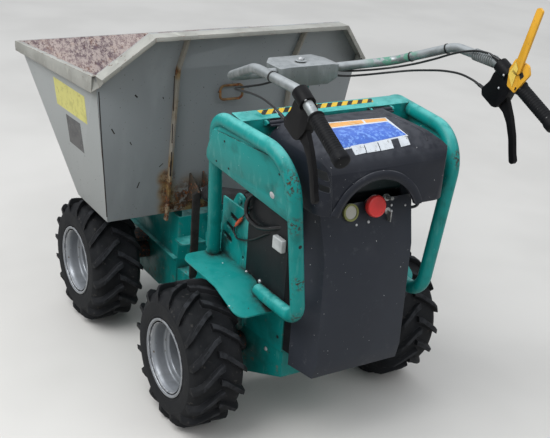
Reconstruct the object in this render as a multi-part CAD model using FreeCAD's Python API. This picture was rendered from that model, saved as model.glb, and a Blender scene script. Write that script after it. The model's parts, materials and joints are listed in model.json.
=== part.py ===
import FreeCAD, Part
import math
import os

os.makedirs("parts", exist_ok=True)
V = FreeCAD.Vector

# All lengths are millimetres: X forward to the skip, Y left, Z up from the ground, angles in degrees

# Clearances
TOUCH_GAP = 0.3
PIN_CLEARANCE = 0.05
MOVING_GAP = 5.0

# Wheels
TYRE_RADIUS = 205.0
TYRE_WIDTH = 166.0
WHEELBASE = 684.0
FRONT_AXLE_X = 420.0
REAR_AXLE_X = FRONT_AXLE_X - WHEELBASE
AXLE_Z = TYRE_RADIUS
WHEEL_Y = 337.0
FACETS = 32
LUG_COUNT = 16
LUG_HEIGHT = 15.0
LUG_PHASE = 7.1
LUG_SWEEP = 13.0
LUG_END_SWEEP = 20.0
LUG_TOP_HALF = 2.4
LUG_BASE_HALF = 3.4
LUG_ROOT = 7.0
LUG_CROSSOVER = 6.0
SHOULDER_Y = 58.0
SHOULDER_DROP = 20.0
RIM_FLANGE_RADIUS = 114.0
RIM_BEAD_RADIUS = 101.5
RIM_WELL_RADIUS = 80.0
RIM_WALL = 4.0
RIM_STEP_Y = 44.0
RIM_DISC_Y = -28.0
HUB_RADIUS = 46.0
HUB_FACE_Y = -12.0
DRUM_RADIUS = 66.0
DRUM_BACK_Y = -78.0

# Axles
STUB_RADIUS = 20.0
AXLE_RADIUS = 30.0
BACKPLATE_RADIUS = 72.0
BACKPLATE_THICK = 8.0
AXLE_NUT_RADIUS = 29.0
AXLE_NUT_THICK = 7.0

# Rear chassis
REAR_CHASSIS_TOP = 270.0
CHASSIS_BOTTOM = 115.0
DECK_THICK = 6.0
REAR_CHASSIS_HALF = 177.0
REAR_CHASSIS_TAIL_HALF = 148.0
REAR_CHASSIS_FRONT_X = -165.0
REAR_CHASSIS_TAPER_X = -230.0
REAR_CHASSIS_BACK_X = -455.0
REAR_CHAMFER_X = -290.0
REAR_CHAMFER_Z = 180.0
DECK_LIP = 8.0

# Articulation
STEER_X = -110.0
STEER_PIN_RADIUS = 15.0
CLEVIS_RADIUS = 50.0
CLEVIS_THICK = 15.0
CLEVIS_TOP_Z = 240.0
CLEVIS_BOTTOM_Z = 125.0
NECK_TOP = 230.0
NECK_BOTTOM = 150.0
NECK_EYE_RADIUS = 45.0
NECK_EYE_GAP = 1.0
NECK_HALF_REAR = 130.0
NECK_HALF_FRONT = 155.0
NECK_SHOULDER_X = -35.0

# Front chassis
FRONT_CHASSIS_BACK_X = 190.0
FRONT_CHASSIS_FRONT_X = 600.0
FRONT_CHASSIS_TOP = 267.0
FRONT_CHASSIS_HALF = 160.0
FRONT_FLANGE_LIP = 10.0
FRONT_CHAMFER_X = 315.0
FRONT_CHAMFER_Z = 172.0
FRAME_HALF = 155.0
FRAME_PLATE = 6.0
FRAME_TOP = 410.0
FRAME_SHOULDER_X = 480.0
FRAME_NOSE_Z = 300.0

# Skip
SKIP_BOTTOM_Z = 429.0
SKIP_BOTTOM_BACK_X = 199.0
SKIP_BOTTOM_FRONT_X = 443.0
SKIP_BOTTOM_HALF = 397.0
SKIP_BACK_X = 155.0
SKIP_BACK_Z = 909.0
SKIP_LIP_X = 859.0
SKIP_LIP_Z = 843.0
SKIP_FLARE = 0.122
SKIP_SHEET = 3.0
HEADBOARD_X = 85.0
HEADBOARD_Z = 1038.0
HEADBOARD_HALF = 325.0
RIM_LEDGE = 50.0
RIM_HEM = 12.0
SIDE_LEDGE = 12.0
SIDE_BAND_BACK = 50.0
SIDE_BAND_FRONT = 32.0
TIP_X = 465.0
TIP_Z = 345.0
TIP_LUG_Y = 138.0
TIP_LUG_THICK = 8.0
TIP_LUG_RADIUS = 24.0
TIP_PIN_RADIUS = 12.0
RIB_Y = 200.0
RIB_THICK = 8.0
RIB_DEPTH = 22.0
LOOP_ROD = 4.0
HAND_LOOP_Y = 11.0
HAND_LOOP_Z = SKIP_BACK_Z - 85.0
HAND_LOOP_WIDTH = 78.0
HAND_LOOP_HEIGHT = 44.0
HAND_LOOP_OUT = 12.0

# Ram
RAM_Y = 100.0
RAM_BASE_X = -160.0
RAM_BASE_Z = 600.0
RAM_EYE_X = 134.0
RAM_EYE_Z = 509.0
RAM_RADIUS = 24.0
ROD_RADIUS = 14.0
RAM_EYE_RADIUS = 18.0
RAM_EYE_HALF = 15.0
RAM_CHEEK_GAP = 5.0
RAM_BASE_HALF = 26.0
RAM_CHEEK_THICK = 8.0
SHELF_Z = 346.0
RAM_PIN_RADIUS = 10.0

# Guard loops
TUBE_RADIUS = 19.05
LOOP_FOOT = V(-151.0, 213.5, 450.0)
LOOP_FRONT_TOP = V(-255.7, 282.5, 899.5)
LOOP_REAR_TOP = V(-595.7, 258.8, 888.9)
LOOP_REAR_BOTTOM = V(-590.5, 201.6, 437.2)
LOOP_END = V(-392.0, 205.0, 437.2)
PANEL_RIM_Z = 868.0
PANEL_LEAN = 0.15
LOOP_BENDS = [60.0, 110.0, 55.0]

# Step plates
STEP_Z = 450.0
STEP_THICK = 5.0
STEP_FRONT_X = -134.0
STEP_KNEE_X = -345.0
STEP_TAIL_X = -454.0
STEP_TAIL_Z = 400.0
STEP_INNER_Y = 190.0
STEP_OUTER_Y = 314.0
STEP_TAIL_OUTER_Y = 300.0
STEP_CORNER = 34.0

# Body between the loops
PANEL_OUTER_Y = 190.0
PANEL_THICK = 6.0
PANEL_FRONT_X = -150.0
PANEL_BACK_X = -296.0
PANEL_TOP_Z = 620.0
PANEL_SLOTS = [(-222.0, 576.0), (-200.0, 541.0), (-184.0, 507.0)]
TRAY_BACK_X = REAR_CHASSIS_BACK_X
TRAY_TOP_Z = 402.0
TRAY_WALL = 6.0
BATTERY_BACK_X = -500.0
BATTERY_FRONT_TOP_Z = 728.0
BATTERY_BACK_TOP_Z = 728.0
COVER_SHEET = 4.0
COVER_BACK_HALF = 138.0
COVER_FRONT_HALF = 160.0
COVER_BOTTOM_Z = 250.0

# Cross plate and hood
CROSS_FRONT = (-308.0, LOOP_FRONT_TOP.z + 21.5)
CROSS_BACK = (-362.0, LOOP_FRONT_TOP.z + 14.5)
CROSS_HALF = 270.0
CROSS_THICK = 4.0
CROSS_DROP = 48.0
HINGE_X = -374.0
HINGE_Z = CROSS_BACK[1] - 8.0
HINGE_Y = 166.0
HINGE_LENGTH = 60.0
HINGE_RADIUS = 6.0
HINGE_PIN_RADIUS = 3.0
HOOD_HALF = 200.0
HOOD_TOP_Z = HINGE_Z + 19.0
HOOD_SHOULDER_Z = HOOD_TOP_Z - 45.0
HOOD_FLAT_HALF = 140.0
HOOD_WALL = 4.0
HOOD_KNEE_X = -575.0
HOOD_BACK_X = -650.0
HOOD_BOTTOM_Z = HOOD_TOP_Z - 178.0
HOOD_BACK_TOP_Z = HOOD_TOP_Z - 63.0
HOOD_SIDE_FRONT_Z = HOOD_TOP_Z - 63.0
HOOD_SLOTS = [
    [(-590.0, 866.0), (-606.0, 842.0), (-638.0, 838.0), (-632.0, 862.0)],
    [(-612.0, 829.0), (-616.0, 811.0), (-640.0, 809.0), (-639.0, 825.0)],
]
ARCH_Y = 34.0
ARCH_RADIUS = 126.0
ARCH_TOP_Z = HOOD_TOP_Z - 97.0
HOOD_CORNER = 55.0
ARCH_LIP = 20.0
ARCH_LIP_PROUD = 4.0

# Handlebar
POST_RADIUS = 17.5
POST_X = -222.0
POST_TOP_Z = 955.0
YOKE_FRONT_X = -145.0
YOKE_BACK_X = -255.0
YOKE_HALF = 96.0
YOKE_BOTTOM_Z = 955.0
YOKE_TOP_Z = 1011.0
BAR_RADIUS = 12.5
BAR_POINTS = [
    V(-226.0, 90.0, 992.0),
    V(-272.0, 265.0, 1010.0),
    V(-463.0, 319.0, 1093.0),
    V(-642.0, 312.0, 1093.0),
    V(-847.8, 316.8, 991.5),
]
LEFT_BAR_POINTS = [
    V(-226.0, 90.0, 992.0),
    V(-272.0, 262.0, 1007.0),
    V(-463.0, 302.0, 1082.0),
    V(-640.0, 288.0, 1074.0),
    V(-848.0, 305.5, 979.8),
]
LEFT_SHIFT = V(0.0, -22.0, -19.5)
BAR_DRAWN_Z = 955.0
BAR_BENDS = [55.0, 90.0, 90.0]
GRIP_RADIUS = 17.5
HOUSING_HALF = 13.0
CLAMP_RADIUS = 20.0
GRIP_LENGTH = 140.0
GRIP_END_WALL = 6.0
GRIP_BULB_RADIUS = 20.0
CABLE_RADIUS = 3.0


def xz(points, y=0.0):
    return [V(x, y, z) for x, z in points]


def xy(points, z=0.0):
    return [V(x, y, z) for x, y in points]


def yz(points, x=0.0):
    return [V(x, y, z) for y, z in points]


def outline(points, radii=None):
    """Closed wire through the points, with a tangent arc at each corner that has a radius."""
    radii = radii or [0.0] * len(points)
    firsts = []
    arcs = []
    lasts = []
    for i, corner in enumerate(points):
        before = (points[i - 1] - corner).normalize()
        after = (points[(i + 1) % len(points)] - corner).normalize()
        if radii[i] <= 0:
            firsts.append(corner)
            arcs.append(None)
            lasts.append(corner)
            continue
        turn = math.pi - before.getAngle(after)
        reach = radii[i] * math.tan(turn / 2)
        middle = (before + after).normalize() * (radii[i] / math.cos(turn / 2) - radii[i])
        firsts.append(corner + before * reach)
        lasts.append(corner + after * reach)
        arcs.append(Part.Arc(firsts[-1], corner + middle, lasts[-1]).toShape())
    edges = []
    for i in range(len(points)):
        if arcs[i]:
            edges.append(arcs[i])
        start = lasts[i]
        end = firsts[(i + 1) % len(points)]
        if (end - start).Length > 1e-6:
            edges.append(Part.LineSegment(start, end).toShape())
    return Part.Wire(edges)


def plate(points, direction, radii=None):
    return Part.Face(outline(points, radii)).extrude(direction)


def box(x0, x1, y0, y1, z0, z1):
    return Part.makeBox(x1 - x0, y1 - y0, z1 - z0, V(x0, y0, z0))


def rod(start, end, radius):
    return Part.makeCylinder(radius, (end - start).Length, start, end - start)


def disc_y(x, z, y0, y1, radius):
    return rod(V(x, y0, z), V(x, y1, z), radius)


def mirrored(shape):
    return shape.mirror(V(0, 0, 0), V(0, 1, 0))


def joined(shapes):
    whole = shapes[0]
    if len(shapes) > 1:
        whole = shapes[0].fuse(shapes[1:])
    return whole.removeSplitter()


def largest(shape):
    return max(shape.Solids, key=lambda solid: solid.Volume)


def bent_rod(points, bends, radius):
    """Round bar of straight runs joined by tangent arcs, one bend radius for each inner point."""
    solids = []
    start = points[0]
    for i in range(1, len(points) - 1):
        corner = points[i]
        back = (points[i - 1] - corner).normalize()
        ahead = (points[i + 1] - corner).normalize()
        turn = math.pi - back.getAngle(ahead)
        bend = bends[i - 1]
        first = corner + back * (bend * math.tan(turn / 2))
        last = corner + ahead * (bend * math.tan(turn / 2))
        centre = corner + (back + ahead).normalize() * (bend / math.cos(turn / 2))
        solids.append(rod(start, first, radius))
        section = Part.Face(Part.Wire(Part.makeCircle(radius, first, back)))
        solids.append(section.revolve(centre, ahead.cross(back), math.degrees(turn)))
        start = last
    solids.append(rod(start, points[-1], radius))
    return joined(solids)


def cord(points, radius):
    """Held cable: every arc as large as its two runs allow."""
    bends = []
    for i in range(1, len(points) - 1):
        back = points[i - 1] - points[i]
        ahead = points[i + 1] - points[i]
        turn = math.pi - back.getAngle(ahead)
        bends.append(0.45 * min(back.Length, ahead.Length) / math.tan(turn / 2))
    print("cable radius %.1f, arc radii" % radius, [round(bend) for bend in bends])
    return bent_rod(points, bends, radius)


def polyhedron(loops):
    """Closed solid through matching rings of points, in flat triangles between the rings."""
    faces = [Part.Face(Part.makePolygon(loops[0] + [loops[0][0]]))]
    faces.append(Part.Face(Part.makePolygon(loops[-1] + [loops[-1][0]])))
    for here, there in zip(loops, loops[1:]):
        for k in range(len(here)):
            a, b = here[k], here[(k + 1) % len(here)]
            c, d = there[(k + 1) % len(here)], there[k]
            faces.append(Part.Face(Part.makePolygon([a, b, c, a])))
            faces.append(Part.Face(Part.makePolygon([a, c, d, a])))
    shell = Part.Shell(faces)
    shell.sewShape()
    solid = Part.Solid(shell)
    if solid.Volume < 0:
        solid.reverse()
    return solid


def around(radius, degrees, y):
    angle = math.radians(degrees)
    return V(radius * math.cos(angle), y, radius * math.sin(angle))


def faceted_ring(profile):
    """Ring of flat facets about the wheel's axis; the profile is a closed list of (radius, y)."""
    step = 360.0 / FACETS
    faces = []
    for k in range(len(profile)):
        (r0, y0), (r1, y1) = profile[k], profile[(k + 1) % len(profile)]
        if y0 == y1:
            flats = []
            for radius in (max(r0, r1), min(r0, r1)):
                ring = [around(radius, i * step, y0) for i in range(FACETS)]
                flats.append(Part.Face(Part.makePolygon(ring + [ring[0]])))
            face = flats[0].cut(flats[1]).Faces[0]
            if (r1 > r0) != (face.normalAt(0, 0).y > 0):
                face.reverse()
            faces.append(face)
            continue
        for i in range(FACETS):
            a, b = around(r0, i * step, y0), around(r0, (i + 1) * step, y0)
            c, d = around(r1, (i + 1) * step, y1), around(r1, i * step, y1)
            faces.append(Part.Face(Part.makePolygon([a, b, c, d, a])))
    shell = Part.Shell(faces)
    shell.sewShape()
    solid = Part.Solid(shell)
    if solid.Volume < 0:
        solid.reverse()
    return solid


def tyre():
    """Tyre for the left side, centred on the origin, with lugs that lead in forward rolling."""
    half = TYRE_WIDTH / 2
    tread = TYRE_RADIUS - LUG_HEIGHT
    side = [
        (RIM_BEAD_RADIUS + TOUCH_GAP, half - RIM_WALL),
        (RIM_FLANGE_RADIUS + 2.0, half - RIM_WALL),
        (RIM_FLANGE_RADIUS + 12.0, half - 1.0),
        (152.0, half),
        (tread - 14.0, half - 10.0),
        (tread - 3.0, half - 24.0),
    ]
    profile = side + [(radius, -y) for radius, y in reversed(side)]
    carcass = faceted_ring(profile)
    # Lug stations from the tyre's middle outwards: y, sweep, top radius, root radius
    stations = [
        (-LUG_CROSSOVER, 0.0, TYRE_RADIUS, tread - LUG_ROOT),
        (SHOULDER_Y, LUG_SWEEP, TYRE_RADIUS, tread - LUG_ROOT),
        (half - 1.0, LUG_END_SWEEP, TYRE_RADIUS - SHOULDER_DROP, tread - LUG_ROOT - 26.0),
    ]
    lugs = []
    for side_sign, offset in ((1, 0.0), (-1, 180.0 / LUG_COUNT)):
        for i in range(LUG_COUNT):
            start = LUG_PHASE + offset + i * 360.0 / LUG_COUNT
            loops = []
            for y, sweep, top, root in stations:
                angle = start + sweep
                loops.append([
                    around(root, angle - LUG_BASE_HALF, side_sign * y),
                    around(root, angle + LUG_BASE_HALF, side_sign * y),
                    around(top, angle + LUG_TOP_HALF, side_sign * y),
                    around(top, angle - LUG_TOP_HALF, side_sign * y),
                ])
            lugs.append(polyhedron(loops))
    return carcass.fuse(lugs)


def rim():
    """Rim for the left side, centred on the origin: deep dish outside, drum and hub inside."""
    half = TYRE_WIDTH / 2
    barrel = RIM_BEAD_RADIUS - RIM_WALL
    profile = [
        (barrel, half), (RIM_FLANGE_RADIUS, half), (RIM_FLANGE_RADIUS, half - RIM_WALL),
        (RIM_BEAD_RADIUS, half - RIM_WALL), (RIM_BEAD_RADIUS, RIM_WALL - half),
        (RIM_FLANGE_RADIUS, RIM_WALL - half), (RIM_FLANGE_RADIUS, -half), (barrel, -half),
        (barrel, RIM_DISC_Y - RIM_WALL), (HUB_RADIUS - 4.0, RIM_DISC_Y - RIM_WALL),
        (HUB_RADIUS - 4.0, RIM_DISC_Y), (RIM_WELL_RADIUS - RIM_WALL, RIM_DISC_Y),
        (RIM_WELL_RADIUS - RIM_WALL, RIM_STEP_Y - 6.0), (barrel, RIM_STEP_Y),
    ]
    hub = disc_y(0, 0, RIM_DISC_Y - RIM_WALL, HUB_FACE_Y, HUB_RADIUS)
    drum = disc_y(0, 0, DRUM_BACK_Y, RIM_DISC_Y - RIM_WALL, DRUM_RADIUS)
    bore = disc_y(0, 0, -half, half, STUB_RADIUS + PIN_CLEARANCE)
    return faceted_ring(profile).fuse([hub, drum]).cut(bore)


def axle(x, plates):
    """Axle tube with brake backplates and the stubs that carry the wheels."""
    drum_y = WHEEL_Y + DRUM_BACK_Y
    plate_y = drum_y - MOVING_GAP
    nut_y = WHEEL_Y + HUB_FACE_Y + 1.0
    pieces = [disc_y(x, AXLE_Z, 1 - plate_y, plate_y - 1, AXLE_RADIUS)]
    pieces.append(disc_y(x, AXLE_Z, -nut_y - AXLE_NUT_THICK, nut_y + AXLE_NUT_THICK, STUB_RADIUS))
    for side in (1, -1):
        inner = side * (plate_y - BACKPLATE_THICK)
        pieces.append(disc_y(x, AXLE_Z, inner, side * plate_y, BACKPLATE_RADIUS))
        pieces.append(disc_y(x, AXLE_Z, side * nut_y, side * (nut_y + AXLE_NUT_THICK), AXLE_NUT_RADIUS))
        if plates:
            edge = FRONT_CHASSIS_HALF + FRONT_FLANGE_LIP
            low, high = sorted((side * edge, side * (plate_y - BACKPLATE_THICK)))
            pieces.append(box(x - 40, x + 40, low, high, FRONT_CHASSIS_TOP - 12, FRONT_CHASSIS_TOP))
            pieces.append(box(x - 5, x + 5, low, high, AXLE_Z, FRONT_CHASSIS_TOP - 12))
    return joined(pieces)


def rear_chassis(axle_shape):
    """Box with a tapered tail, a deck, the clevis and the steering pin."""
    side_view = xz([
        (REAR_CHASSIS_FRONT_X, CHASSIS_BOTTOM), (REAR_CHASSIS_FRONT_X, REAR_CHASSIS_TOP - DECK_THICK),
        (REAR_CHASSIS_BACK_X, REAR_CHASSIS_TOP - DECK_THICK), (REAR_CHASSIS_BACK_X, REAR_CHAMFER_Z),
        (REAR_CHAMFER_X, CHASSIS_BOTTOM),
    ], -250)
    hull = plate(side_view, V(0, 500, 0))
    plans = []
    for lip in (0.0, DECK_LIP):
        half = REAR_CHASSIS_HALF + lip
        tail = REAR_CHASSIS_TAIL_HALF + lip
        back = REAR_CHASSIS_BACK_X
        plans.append([
            (REAR_CHASSIS_FRONT_X, -half), (REAR_CHASSIS_FRONT_X, half), (REAR_CHASSIS_TAPER_X, half),
            (back, tail), (back, -tail), (REAR_CHASSIS_TAPER_X, -half),
        ])
    body = hull.common(plate(xy(plans[0], 0), V(0, 0, 400)))
    deck = plate(xy(plans[1], REAR_CHASSIS_TOP - DECK_THICK), V(0, 0, DECK_THICK))
    pieces = [body, deck]
    for z in (CLEVIS_BOTTOM_Z, CLEVIS_TOP_Z):
        arm = box(REAR_CHASSIS_FRONT_X, STEER_X, -CLEVIS_RADIUS, CLEVIS_RADIUS, z, z + CLEVIS_THICK)
        ear = Part.makeCylinder(CLEVIS_RADIUS, CLEVIS_THICK, V(STEER_X, 0, z))
        pieces += [arm, ear]
    pin_top = CLEVIS_TOP_Z + CLEVIS_THICK + 6
    pieces.append(Part.makeCylinder(STEER_PIN_RADIUS, pin_top - CHASSIS_BOTTOM, V(STEER_X, 0, CHASSIS_BOTTOM)))
    return joined(pieces).cut(axle_shape)


def front_chassis(axle_shape):
    """Lower box with a flange, and the upper frame that carries the skip's pins."""
    back = FRONT_CHASSIS_BACK_X
    front = FRONT_CHASSIS_FRONT_X
    side_view = [
        (back, FRONT_CHAMFER_Z), (back, FRONT_CHASSIS_TOP - DECK_THICK),
        (front, FRONT_CHASSIS_TOP - DECK_THICK), (front, CHASSIS_BOTTOM + 40),
        (front - 60, CHASSIS_BOTTOM), (FRONT_CHAMFER_X, CHASSIS_BOTTOM),
    ]
    half = FRONT_CHASSIS_HALF
    lip = half + FRONT_FLANGE_LIP
    pieces = [plate(xz(side_view, -half), V(0, 2 * half, 0))]
    pieces.append(box(back, front, -lip, lip, FRONT_CHASSIS_TOP - DECK_THICK, FRONT_CHASSIS_TOP))
    cheek = [
        (back, FRONT_CHASSIS_TOP), (back, FRAME_TOP), (FRAME_SHOULDER_X, FRAME_TOP),
        (front, FRAME_NOSE_Z), (front, FRONT_CHASSIS_TOP),
    ]
    for side in (1, -1):
        pieces.append(plate(xz(cheek, side * FRAME_HALF), V(0, -side * FRAME_PLATE, 0)))
        pin_in = side * (TIP_LUG_Y - TIP_LUG_THICK)
        pieces.append(disc_y(TIP_X, TIP_Z, pin_in, side * (FRAME_HALF + 4), TIP_PIN_RADIUS))
        pieces.append(disc_y(TIP_X, TIP_Z, side * FRAME_HALF, side * (FRAME_HALF + 5), TIP_LUG_RADIUS))
        pad_out = side * FRAME_HALF
        pad_in = side * (FRAME_HALF - 30)
        pad_top = SKIP_BOTTOM_Z - MOVING_GAP
        pieces.append(box(back + 40, back + 80, min(pad_in, pad_out), max(pad_in, pad_out), FRAME_TOP - 20, pad_top))
    pieces.append(box(back, back + FRAME_PLATE, -FRAME_HALF, FRAME_HALF, FRONT_CHASSIS_TOP, FRAME_TOP))
    pieces.append(box(front - FRAME_PLATE, front, -FRAME_HALF, FRAME_HALF, FRONT_CHASSIS_TOP, FRAME_NOSE_Z))
    return joined(pieces).cut(axle_shape)


def neck():
    """Beam from the front chassis back to the steering pin, between the clevis plates."""
    plan = [
        (FRONT_CHASSIS_BACK_X, -NECK_HALF_FRONT), (FRONT_CHASSIS_BACK_X, NECK_HALF_FRONT),
        (NECK_SHOULDER_X, NECK_HALF_REAR), (STEER_X, NECK_EYE_RADIUS),
        (STEER_X, -NECK_EYE_RADIUS), (NECK_SHOULDER_X, -NECK_HALF_REAR),
    ]
    beam = plate(xy(plan, NECK_BOTTOM + 20), V(0, 0, NECK_TOP - NECK_BOTTOM - 20))
    low = CLEVIS_BOTTOM_Z + CLEVIS_THICK + NECK_EYE_GAP
    high = CLEVIS_TOP_Z - NECK_EYE_GAP
    eye = Part.makeCylinder(NECK_EYE_RADIUS, high - low, V(STEER_X, 0, low))
    bore = Part.makeCylinder(STEER_PIN_RADIUS + PIN_CLEARANCE, 200, V(STEER_X, 0, 100))
    return joined([beam, eye]).cut(bore)


def ram_bracket():
    """Two cheeks that lean back from the neck to the ram's base pin."""
    pieces = []
    side_view = [
        (96, NECK_TOP), (30, 360), (RAM_BASE_X + 18, RAM_BASE_Z + 20), (RAM_BASE_X - 20, RAM_BASE_Z + 16),
        (RAM_BASE_X - 22, RAM_BASE_Z - 20), (-52, 330), (NECK_SHOULDER_X, NECK_TOP),
    ]
    radii = [0, 120, 18, 18, 18, 100, 0]
    inner = RAM_BASE_HALF + RAM_CHEEK_GAP
    for side in (1, -1):
        y = RAM_Y + side * inner
        pieces.append(plate(xz(side_view, y), V(0, side * RAM_CHEEK_THICK, 0), radii))
    pin_half = inner + RAM_CHEEK_THICK + 5
    pieces.append(disc_y(RAM_BASE_X, RAM_BASE_Z, RAM_Y - pin_half, RAM_Y + pin_half, RAM_PIN_RADIUS))
    tie_y = RAM_Y - inner
    pieces.append(box(0, 40, tie_y, RAM_Y + inner, NECK_TOP, NECK_TOP + 60))
    return joined(pieces)


def latch_bar():
    """Flat upright bar with a pointed top behind the skip, and the small shelf welded to its side."""
    points = [(127, NECK_TOP), (153, NECK_TOP), (153, 520), (140, 528), (127, 520)]
    shelf = [(106, 96), (167, 109), (166, 184), (106, 184)]
    return joined([plate(yz(points, 104), V(8, 0, 0)), plate(xy(shelf, SHELF_Z), V(0, 0, 6), [0, 6, 12, 20])])


RAM_BASE = V(RAM_BASE_X, RAM_Y, RAM_BASE_Z)
RAM_EYE = V(RAM_EYE_X, RAM_Y, RAM_EYE_Z)
RAM_WAY = (RAM_EYE - RAM_BASE).normalize()
RAM_LENGTH = (RAM_EYE - RAM_BASE).Length


def ram_barrel():
    gland = RAM_BASE + RAM_WAY * (RAM_LENGTH - RAM_EYE_RADIUS - 16)
    body = rod(RAM_BASE + RAM_WAY * (RAM_EYE_RADIUS - 4), gland, RAM_RADIUS)
    collar = rod(gland - RAM_WAY * 22, gland, RAM_RADIUS + 3)
    eye = disc_y(RAM_BASE_X, RAM_BASE_Z, RAM_Y - RAM_BASE_HALF, RAM_Y + RAM_BASE_HALF, RAM_EYE_RADIUS)
    bore = rod(RAM_BASE + RAM_WAY * (RAM_EYE_RADIUS + 8), gland, ROD_RADIUS + PIN_CLEARANCE)
    pin = disc_y(RAM_BASE_X, RAM_BASE_Z, 0, 200, RAM_PIN_RADIUS + PIN_CLEARANCE)
    return joined([body, collar, eye]).cut(bore).cut(pin)


def ram_rod():
    start = RAM_BASE + RAM_WAY * (RAM_EYE_RADIUS + 12)
    shaft = rod(start, RAM_EYE, ROD_RADIUS)
    eye = disc_y(RAM_EYE_X, RAM_EYE_Z, RAM_Y - RAM_EYE_HALF, RAM_Y + RAM_EYE_HALF, RAM_EYE_RADIUS)
    return joined([shaft, eye])


def skip_section(offset, rise):
    """Side view of the tub, moved inwards by the offset and open above when it rises."""
    back_dx = SKIP_BACK_X - SKIP_BOTTOM_BACK_X
    back_dz = SKIP_BACK_Z - SKIP_BOTTOM_Z
    front_dx = SKIP_LIP_X - SKIP_BOTTOM_FRONT_X
    front_dz = SKIP_LIP_Z - SKIP_BOTTOM_Z
    back_slope = back_dx / back_dz
    front_slope = front_dx / front_dz
    back_shift = offset * math.hypot(1, back_slope)
    front_shift = offset * math.hypot(1, front_slope)
    low = SKIP_BOTTOM_Z + offset

    def back_x(z):
        return SKIP_BOTTOM_BACK_X + back_slope * (z - SKIP_BOTTOM_Z) + back_shift

    def front_x(z):
        return SKIP_BOTTOM_FRONT_X + front_slope * (z - SKIP_BOTTOM_Z) - front_shift

    if rise:
        high = SKIP_BACK_Z + rise
        return [(back_x(low), low), (front_x(low), low), (front_x(high), high), (back_x(high), high)]
    return [(back_x(low), low), (front_x(low), low), (SKIP_LIP_X, SKIP_LIP_Z), (SKIP_BACK_X, SKIP_BACK_Z)]


def skip_width(offset, high):
    """Cross section of the tub with its flared sides."""
    low = SKIP_BOTTOM_Z - 1
    shift = offset * math.hypot(1, SKIP_FLARE)
    low_half = SKIP_BOTTOM_HALF - SKIP_FLARE - shift
    high_half = SKIP_BOTTOM_HALF + SKIP_FLARE * (high - SKIP_BOTTOM_Z) - shift
    return [(-low_half, low), (low_half, low), (high_half, high), (-high_half, high)]


def skip_half(z):
    return SKIP_BOTTOM_HALF + SKIP_FLARE * (z - SKIP_BOTTOM_Z)


def headboard():
    """Leaning trapezoid of sheet that carries the rear wall on upwards."""
    lean = V(HEADBOARD_X - SKIP_BACK_X, 0, HEADBOARD_Z - SKIP_BACK_Z).normalize()
    inner = V(lean.z, 0, -lean.x) * SKIP_SHEET
    root_z = SKIP_BACK_Z - 6
    wall = SKIP_SHEET * math.hypot(1, (SKIP_BACK_X - SKIP_BOTTOM_BACK_X) / (SKIP_BACK_Z - SKIP_BOTTOM_Z))
    strip = [
        (wall_x(root_z), root_z), (SKIP_BACK_X, SKIP_BACK_Z), (HEADBOARD_X, HEADBOARD_Z),
        (HEADBOARD_X + inner.x, HEADBOARD_Z + inner.z), (SKIP_BACK_X + wall, SKIP_BACK_Z + 1),
        (wall_x(root_z) + wall, root_z),
    ]
    low_half = skip_half(SKIP_BACK_Z)
    slope = (low_half - HEADBOARD_HALF) / (HEADBOARD_Z - SKIP_BACK_Z)
    root_half = skip_half(root_z)
    top_z = HEADBOARD_Z + SKIP_SHEET
    top_half = HEADBOARD_HALF - slope * SKIP_SHEET
    front_view = [
        (-root_half, root_z), (-low_half, SKIP_BACK_Z), (-top_half, top_z),
        (top_half, top_z), (low_half, SKIP_BACK_Z), (root_half, root_z),
    ]
    return plate(xz(strip, -500), V(0, 1000, 0)).common(plate(yz(front_view, 0), V(500, 0, 0)))


def skip_shell():
    outer = plate(xz(skip_section(0, 0), -500), V(0, 1000, 0))
    outer = outer.common(plate(yz(skip_width(0, 1100), 0), V(1000, 0, 0)))
    inner = plate(xz(skip_section(SKIP_SHEET, 200), -500), V(0, 1000, 0))
    inner = inner.common(plate(yz(skip_width(SKIP_SHEET, 1300), 0), V(1500, 0, 0)))
    return joined([outer.cut(inner), headboard()])


def skip_rim(shell):
    """Folded edge: ledge and hem along the headboard, a ledge and band along each side, a lip bar."""
    low_half = skip_half(SKIP_BACK_Z)
    lip_half = skip_half(SKIP_LIP_Z)
    corners = [
        V(SKIP_BACK_X, low_half, SKIP_BACK_Z), V(HEADBOARD_X, HEADBOARD_HALF, HEADBOARD_Z),
        V(HEADBOARD_X, -HEADBOARD_HALF, HEADBOARD_Z), V(SKIP_BACK_X, -low_half, SKIP_BACK_Z),
    ]
    back = V(-RIM_LEDGE, 0, 0)
    pieces = []
    for a, b in zip(corners, corners[1:]):
        inward = (b - a).cross(back).normalize()
        if inward.z > 0:
            inward = inward * -1
        a2 = V(min(a.x, SKIP_BACK_X), a.y, a.z)
        pieces.append(plate([a2, b, b + back, a2 + back], inward * SKIP_SHEET))
        pieces.append(plate([a2 + back, b + back, b + back + inward * RIM_HEM, a2 + back + inward * RIM_HEM],
                            V(SKIP_SHEET, 0, 0)))
    for side in (1, -1):
        loops = []
        # Stations of the side band: x, top z, half width, band depth
        stations = [
            (SKIP_BACK_X, SKIP_BACK_Z, low_half, SIDE_BAND_BACK),
            (SKIP_LIP_X, SKIP_LIP_Z, lip_half, SIDE_BAND_FRONT),
        ]
        for x, z, half, depth in stations:
            inner = half - 2 * SKIP_SHEET
            outer = half + SIDE_LEDGE
            loops.append([
                V(x, side * inner, z), V(x, side * outer, z), V(x, side * outer, z - depth),
                V(x, side * (outer - SKIP_SHEET), z - depth),
                V(x, side * (outer - SKIP_SHEET), z - SKIP_SHEET), V(x, side * inner, z - SKIP_SHEET),
            ])
        pieces.append(polyhedron(loops))
    lip = lip_half + SIDE_LEDGE
    pieces.append(box(SKIP_LIP_X - 4, SKIP_LIP_X + 3, -lip, lip, SKIP_LIP_Z - 22, SKIP_LIP_Z))
    return joined(pieces).cut(shell)


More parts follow.
